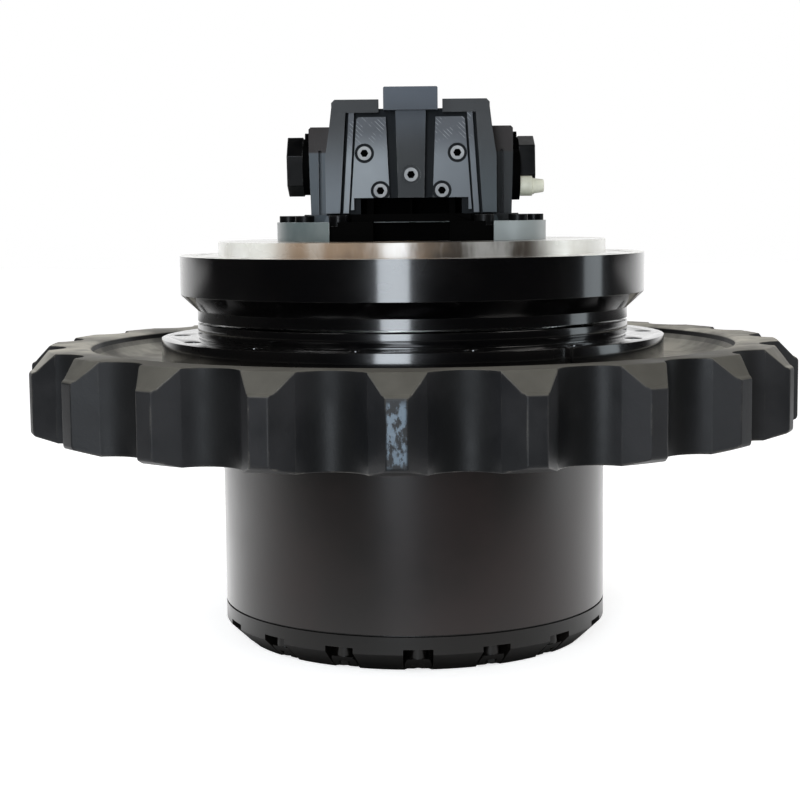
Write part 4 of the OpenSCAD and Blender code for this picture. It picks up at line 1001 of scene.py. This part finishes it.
@dataclass
class MotorHead:
    """Motor flange, port block and what is screwed into them."""

    flange_edge: float = 1.0 * MM
    bolt_edge: float = 0.7 * MM
    block_edge: float = 1.2 * MM
    face_plug_edge: float = 0.4 * MM
    spool_plug_edge: float = 1.2 * MM
    valve_edge: float = 0.8 * MM
    cap_edge: float = 0.8 * MM
    pad_y: float = -0.081
    relief_y: float = -0.073
    undercut_z: float = 0.4245
    side_x: float = 0.08
    brown_z: float = 0.4675
    boss_x: float = 0.0966
    foot_half: float = 0.0765
    inside_y: float = -0.03
    head_half: float = 0.0275
    rib_half: float = 0.026
    pad_far_x: float = 0.059
    pad_top_z: float = 0.492
    level_z: float = 0.7
    step_y: float = 0.0012
    relief_step_y: float = 0.0004
    middle_plug_x: float = 0.01
    middle_plug_step: float = 0.004
    boss_head: float = 0.02

    def build(self, shop: Shop) -> None:
        """Makes the head.

        Args:
            shop: where the pieces are made.
        """
        shop.skin("motor_flange", [Palette.zinc_grey], self.flange_edge)
        shop.skin("motor_bolts", [Palette.black_oxide], self.bolt_edge)
        shop.skin("port_block", [Palette.slate, Palette.pad, Palette.brown_valve, Palette.cavity_painted_shade,
                                 Palette.rib, Palette.groove_painted_shade], self.block_edge, choose=self.slot_for)
        shop.skin("face_plugs", [Palette.plug_ring, Palette.cavity_painted_shade], self.face_plug_edge,
                  choose=self.plug_slot_for)
        shop.skin("spool_plug_left", [Palette.black_oxide], self.spool_plug_edge)
        shop.skin("spool_plug_right", [Palette.black_oxide], self.spool_plug_edge)
        shop.skin("relief_valves", [Palette.black_oxide], self.valve_edge)
        shop.skin("pilot_cap", [Palette.cream], self.cap_edge)

    def plug_slot_for(self, centre: Vector, normal: Vector) -> int:
        """Picks the bright slot for a plug's rim and the painted-shade slot for its socket.

        Args:
            centre: the face's centre.
            normal: its outward direction.

        Returns:
            0 for the rim and 1 for the socket.
        """
        seat = self.pad_y if abs(centre.x) > self.middle_plug_x else self.pad_y - self.middle_plug_step
        return int(centre.y > seat + self.step_y)

    def slot_for(self, centre: Vector, normal: Vector) -> BlockSlot:
        """Picks the slot of one face of the port block.

        Args:
            centre: the face's centre.
            normal: its outward direction.

        Returns:
            The slot: RIB also for the bar on top, SIDE for a side body and SHADE for what lies in shade.
        """
        if centre.z > self.pad_top_z and abs(centre.x) < self.head_half:
            return BlockSlot.RIB
        if centre.z > self.pad_top_z and normal.z > self.level_z:
            return BlockSlot.SLATE
        inside = abs(centre.x) < self.foot_half and centre.y < self.inside_y
        if inside and centre.z < self.undercut_z:
            return BlockSlot.SHADE
        # walls of recesses: painted shade
        if inside and centre.y > self.relief_y - self.relief_step_y:
            return BlockSlot.GROOVE_SHADE
        if abs(centre.x) > self.boss_x and centre.z < self.brown_z + self.boss_head:
            return BlockSlot.SHADE
        if abs(centre.x) > self.side_x:
            return BlockSlot.SIDE
        if inside and centre.z < self.pad_top_z:
            # walls of recesses: painted shade
            if centre.y > self.pad_y + self.step_y:
                return BlockSlot.GROOVE_SHADE
            if abs(centre.x) < self.rib_half:
                return BlockSlot.RIB
            return BlockSlot.PAD if abs(centre.x) < self.pad_far_x else BlockSlot.SLATE
        return BlockSlot.SLATE


@dataclass
class InnerWorks:
    """The gears, bearings and motor parts inside."""

    def build(self, shop: Shop) -> None:
        """Dresses what is inside.

        Args:
            shop: where the pieces are made.
        """
        shop.finish([node for node in shop.nodes if node.startswith(("planet_", "sun_"))],
                    Palette.ground_steel)
        shop.finish(["carrier_1", "carrier_2", "swash_saddle"], Palette.cast_steel)
        shop.finish(["thrust_pad", "motor_shaft", "swash_plate", "pistons", "shoe_retainer", "spool",
                     "brake_piston", "front_bearing_outer", "front_bearing_rollers", "rear_bearing_outer",
                     "rear_bearing_rollers", "upper_bearing_outer", "lower_bearing_outer",
                     "upper_bearing_inner", "lower_bearing_inner", "upper_bearing_balls",
                     "lower_bearing_balls", "seal_ring_turning", "seal_ring_still"], Palette.ground_steel)
        shop.finish(["bearing_nut", "brake_plates"], Palette.black_oxide)
        shop.finish(["cylinder_block", "valve_plate", "friction_discs"], Palette.bronze)
        shop.finish(["cover_seal", "seal_rubber_hub", "seal_rubber_spindle", "shaft_seal"], Palette.rubber)
        shop.spring("brake_spring", "brake_disc_spring", Palette.black_oxide, "brake_piston", (0, 0, 1))
        shop.spring("spool_springs", "spool_spring_left", Palette.black_oxide, "spool", (-1, 0, 0))
        shop.spring("spool_springs", "spool_spring_right", Palette.black_oxide, "spool", (1, 0, 0))


# Studio

@dataclass(frozen=True)
class Softbox:
    """One area light."""

    name: str
    place: Point
    width: float
    height: float
    power: float
    tint: Colour = (1.0, 1.0, 1.0)
    aim: Point = (0, 0, 0.3)

    def build(self) -> None:
        """Hangs the light and turns it to its aim."""
        lamp = bpy.data.lights.new(self.name, "AREA")
        lamp.shape = "RECTANGLE"
        lamp.size, lamp.size_y = self.width, self.height
        lamp.energy = self.power
        lamp.color = self.tint
        holder = bpy.data.objects.new(self.name, lamp)
        bpy.context.scene.collection.objects.link(holder)
        holder.location = self.place
        holder.rotation_euler = (Vector(self.aim) - Vector(self.place)).to_track_quat("-Z", "Y").to_euler()


@dataclass
class Studio:
    """Floor, world, lights and the camera of the photograph."""

    camera_place: Point = (0.0, -1.6802, 0.4091)
    yaw: float = -0.440
    pitch: float = 6.182
    roll: float = 0.568
    lens: float = 77.13
    sensor: float = 36.0
    floor_half: float = 12.0
    floor_z: float = -0.0005
    floor_tone: Colour = (0.86, 0.86, 0.86)
    floor_rough: float = 0.7
    floor_specular: float = 0.1
    floor_seen: float = 0.68
    world_light: float = 0.4
    front_mirrored: float = 0.02
    near_front: float = 0.26
    near_back: float = 1.6
    near_y: Span = (-0.9, 0.3)
    near_r: Span = (1.6, 2.6)
    far_y: Span = (4.0, 5.5)
    behind_y: Span = (0.6, 0.88)
    shadow_r: Span = (0.16, 0.25)
    lamps: tuple[Softbox, ...] = (
        Softbox("front_strip", (-0.35, -2.4, 0.66), width=0.62, height=1.3, power=28.4,
                tint=(0.86, 0.93, 1.0)),
        Softbox("right_strip", (2.2, 0.1, 0.4), width=0.5, height=1.2, power=4.0, tint=(0.86, 0.95, 1.0)),
        Softbox("top_left", (-1.5, -1.1, 2.2), width=1.2, height=1.2, power=30.0),
        Softbox("top_right", (1.6, -0.9, 1.9), width=1.0, height=1.2, power=18.0, tint=(1.0, 0.97, 0.93)),
    )

    def build(self) -> None:
        """Sets up the studio."""
        self._camera()
        self._floor()
        self._world()
        for lamp in self.lamps:
            lamp.build()
        bpy.context.scene.view_settings.view_transform = "Standard"

    def _camera(self) -> None:
        """Places the camera by its yaw, pitch and roll."""
        yaw, pitch, roll = (math.radians(angle) for angle in (self.yaw, self.pitch, self.roll))
        ahead = Vector((math.sin(yaw) * math.cos(pitch), math.cos(yaw) * math.cos(pitch), -math.sin(pitch)))
        right = Vector((math.cos(yaw), -math.sin(yaw), 0.0))
        down = -right.cross(ahead)
        axis_x = right * math.cos(roll) + down * math.sin(roll)
        axis_y = right * math.sin(roll) - down * math.cos(roll)
        turn = Matrix((axis_x, axis_y, -ahead)).transposed().to_4x4()
        turn.translation = Vector(self.camera_place)
        data = bpy.data.cameras.new("photo_camera")
        data.lens, data.sensor_width = self.lens, self.sensor
        camera = bpy.data.objects.new("photo_camera", data)
        bpy.context.scene.collection.objects.link(camera)
        camera.matrix_world = turn
        bpy.context.scene.camera = camera

    def _floor(self) -> None:
        """Lays the pale floor, which looks white to the camera and keeps the shadow."""
        deselect()
        bpy.ops.mesh.primitive_plane_add(size=2 * self.floor_half, location=(0, 0, self.floor_z))
        floor = bpy.context.object
        floor.name = "studio_floor"
        bake_place(floor)
        material = bpy.data.materials.new("pale_floor")
        material.use_nodes = True
        graph = Graph(material.node_tree)
        shader = material.node_tree.nodes["Principled BSDF"]
        graph.feed(shader.inputs["Base Color"], self.floor_tone)
        graph.feed(shader.inputs["Roughness"], self.floor_rough)
        graph.feed(shader.inputs["Specular IOR Level"], self.floor_specular)
        path = graph.node("ShaderNodeLightPath")
        across, along, _ = graph.split(graph.place())
        away = graph.radius(across, along)
        level = graph.ramp(along, *self.near_y, self.near_front, self.near_back)
        # near the drive the floor's glow that reflections see is dimmed: a painted shadow
        shadow = graph.ramp(away, *self.shadow_r)
        near = graph.math("MULTIPLY", shadow, graph.ramp(away, *self.near_r, 1.0, 0.0))
        far = graph.ramp(along, *self.far_y, self.front_mirrored, 1.0)
        strength = graph.math("MAXIMUM", graph.math("MULTIPLY", level, near), far)
        mirrored = graph.node("ShaderNodeEmission")
        graph.feed(mirrored.inputs["Strength"], strength)
        seen = graph.math("MULTIPLY", path.outputs["Is Camera Ray"], self.floor_seen)
        glow = graph.node("ShaderNodeEmission")
        graph.feed(glow.inputs["Strength"], seen)
        total = graph.node("ShaderNodeAddShader")
        graph.feed(total.inputs[0], shader.outputs[0])
        graph.feed(total.inputs[1], glow.outputs[0])
        whole = graph.node("ShaderNodeMixShader")
        for socket, source in zip(whole.inputs, (path.outputs["Is Glossy Ray"], total.outputs[0],
                                                 mirrored.outputs[0])):
            graph.feed(socket, source)
        graph.feed(material.node_tree.nodes["Material Output"].inputs[0], whole.outputs[0])
        floor.data.materials.append(material)

    def _world(self) -> None:
        """Makes the world white to the camera and in reflections from behind, and softer as a light."""
        world = bpy.data.worlds.new("studio_world")
        world.use_nodes = True
        bpy.context.scene.world = world
        graph = Graph(world.node_tree)
        path = graph.node("ShaderNodeLightPath")
        along = graph.split(graph.node("ShaderNodeTexCoord").outputs["Generated"])[1]
        behind = graph.ramp(along, *self.behind_y, self.front_mirrored, 1.0)
        mirrored = graph.math("MAXIMUM", path.outputs["Is Glossy Ray"], path.outputs["Is Transmission Ray"])
        light = graph.node("ShaderNodeMix", data_type="FLOAT")
        for socket, value in zip(light.inputs, (mirrored, None, self.world_light, behind)):
            if value is not None:
                graph.feed(socket, value)
        whole = graph.math("MAXIMUM", light.outputs[0], path.outputs["Is Camera Ray"])
        backdrop = world.node_tree.nodes["Background"]
        backdrop.inputs["Color"].default_value = (1, 1, 1, 1)
        graph.feed(backdrop.inputs["Strength"], whole)


def main() -> None:
    """Loads the frame and builds the looks on it."""
    logging.basicConfig(level=logging.INFO, format="%(name)s %(message)s")
    shop = Shop(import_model())
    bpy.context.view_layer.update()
    Effects().build()
    Studio().build()
    for assembly in (GearCase(), SprocketRing(), FrameSpindle(), MotorHead(), InnerWorks()):
        assembly.build(shop)


if __name__ == "__main__":
    main()
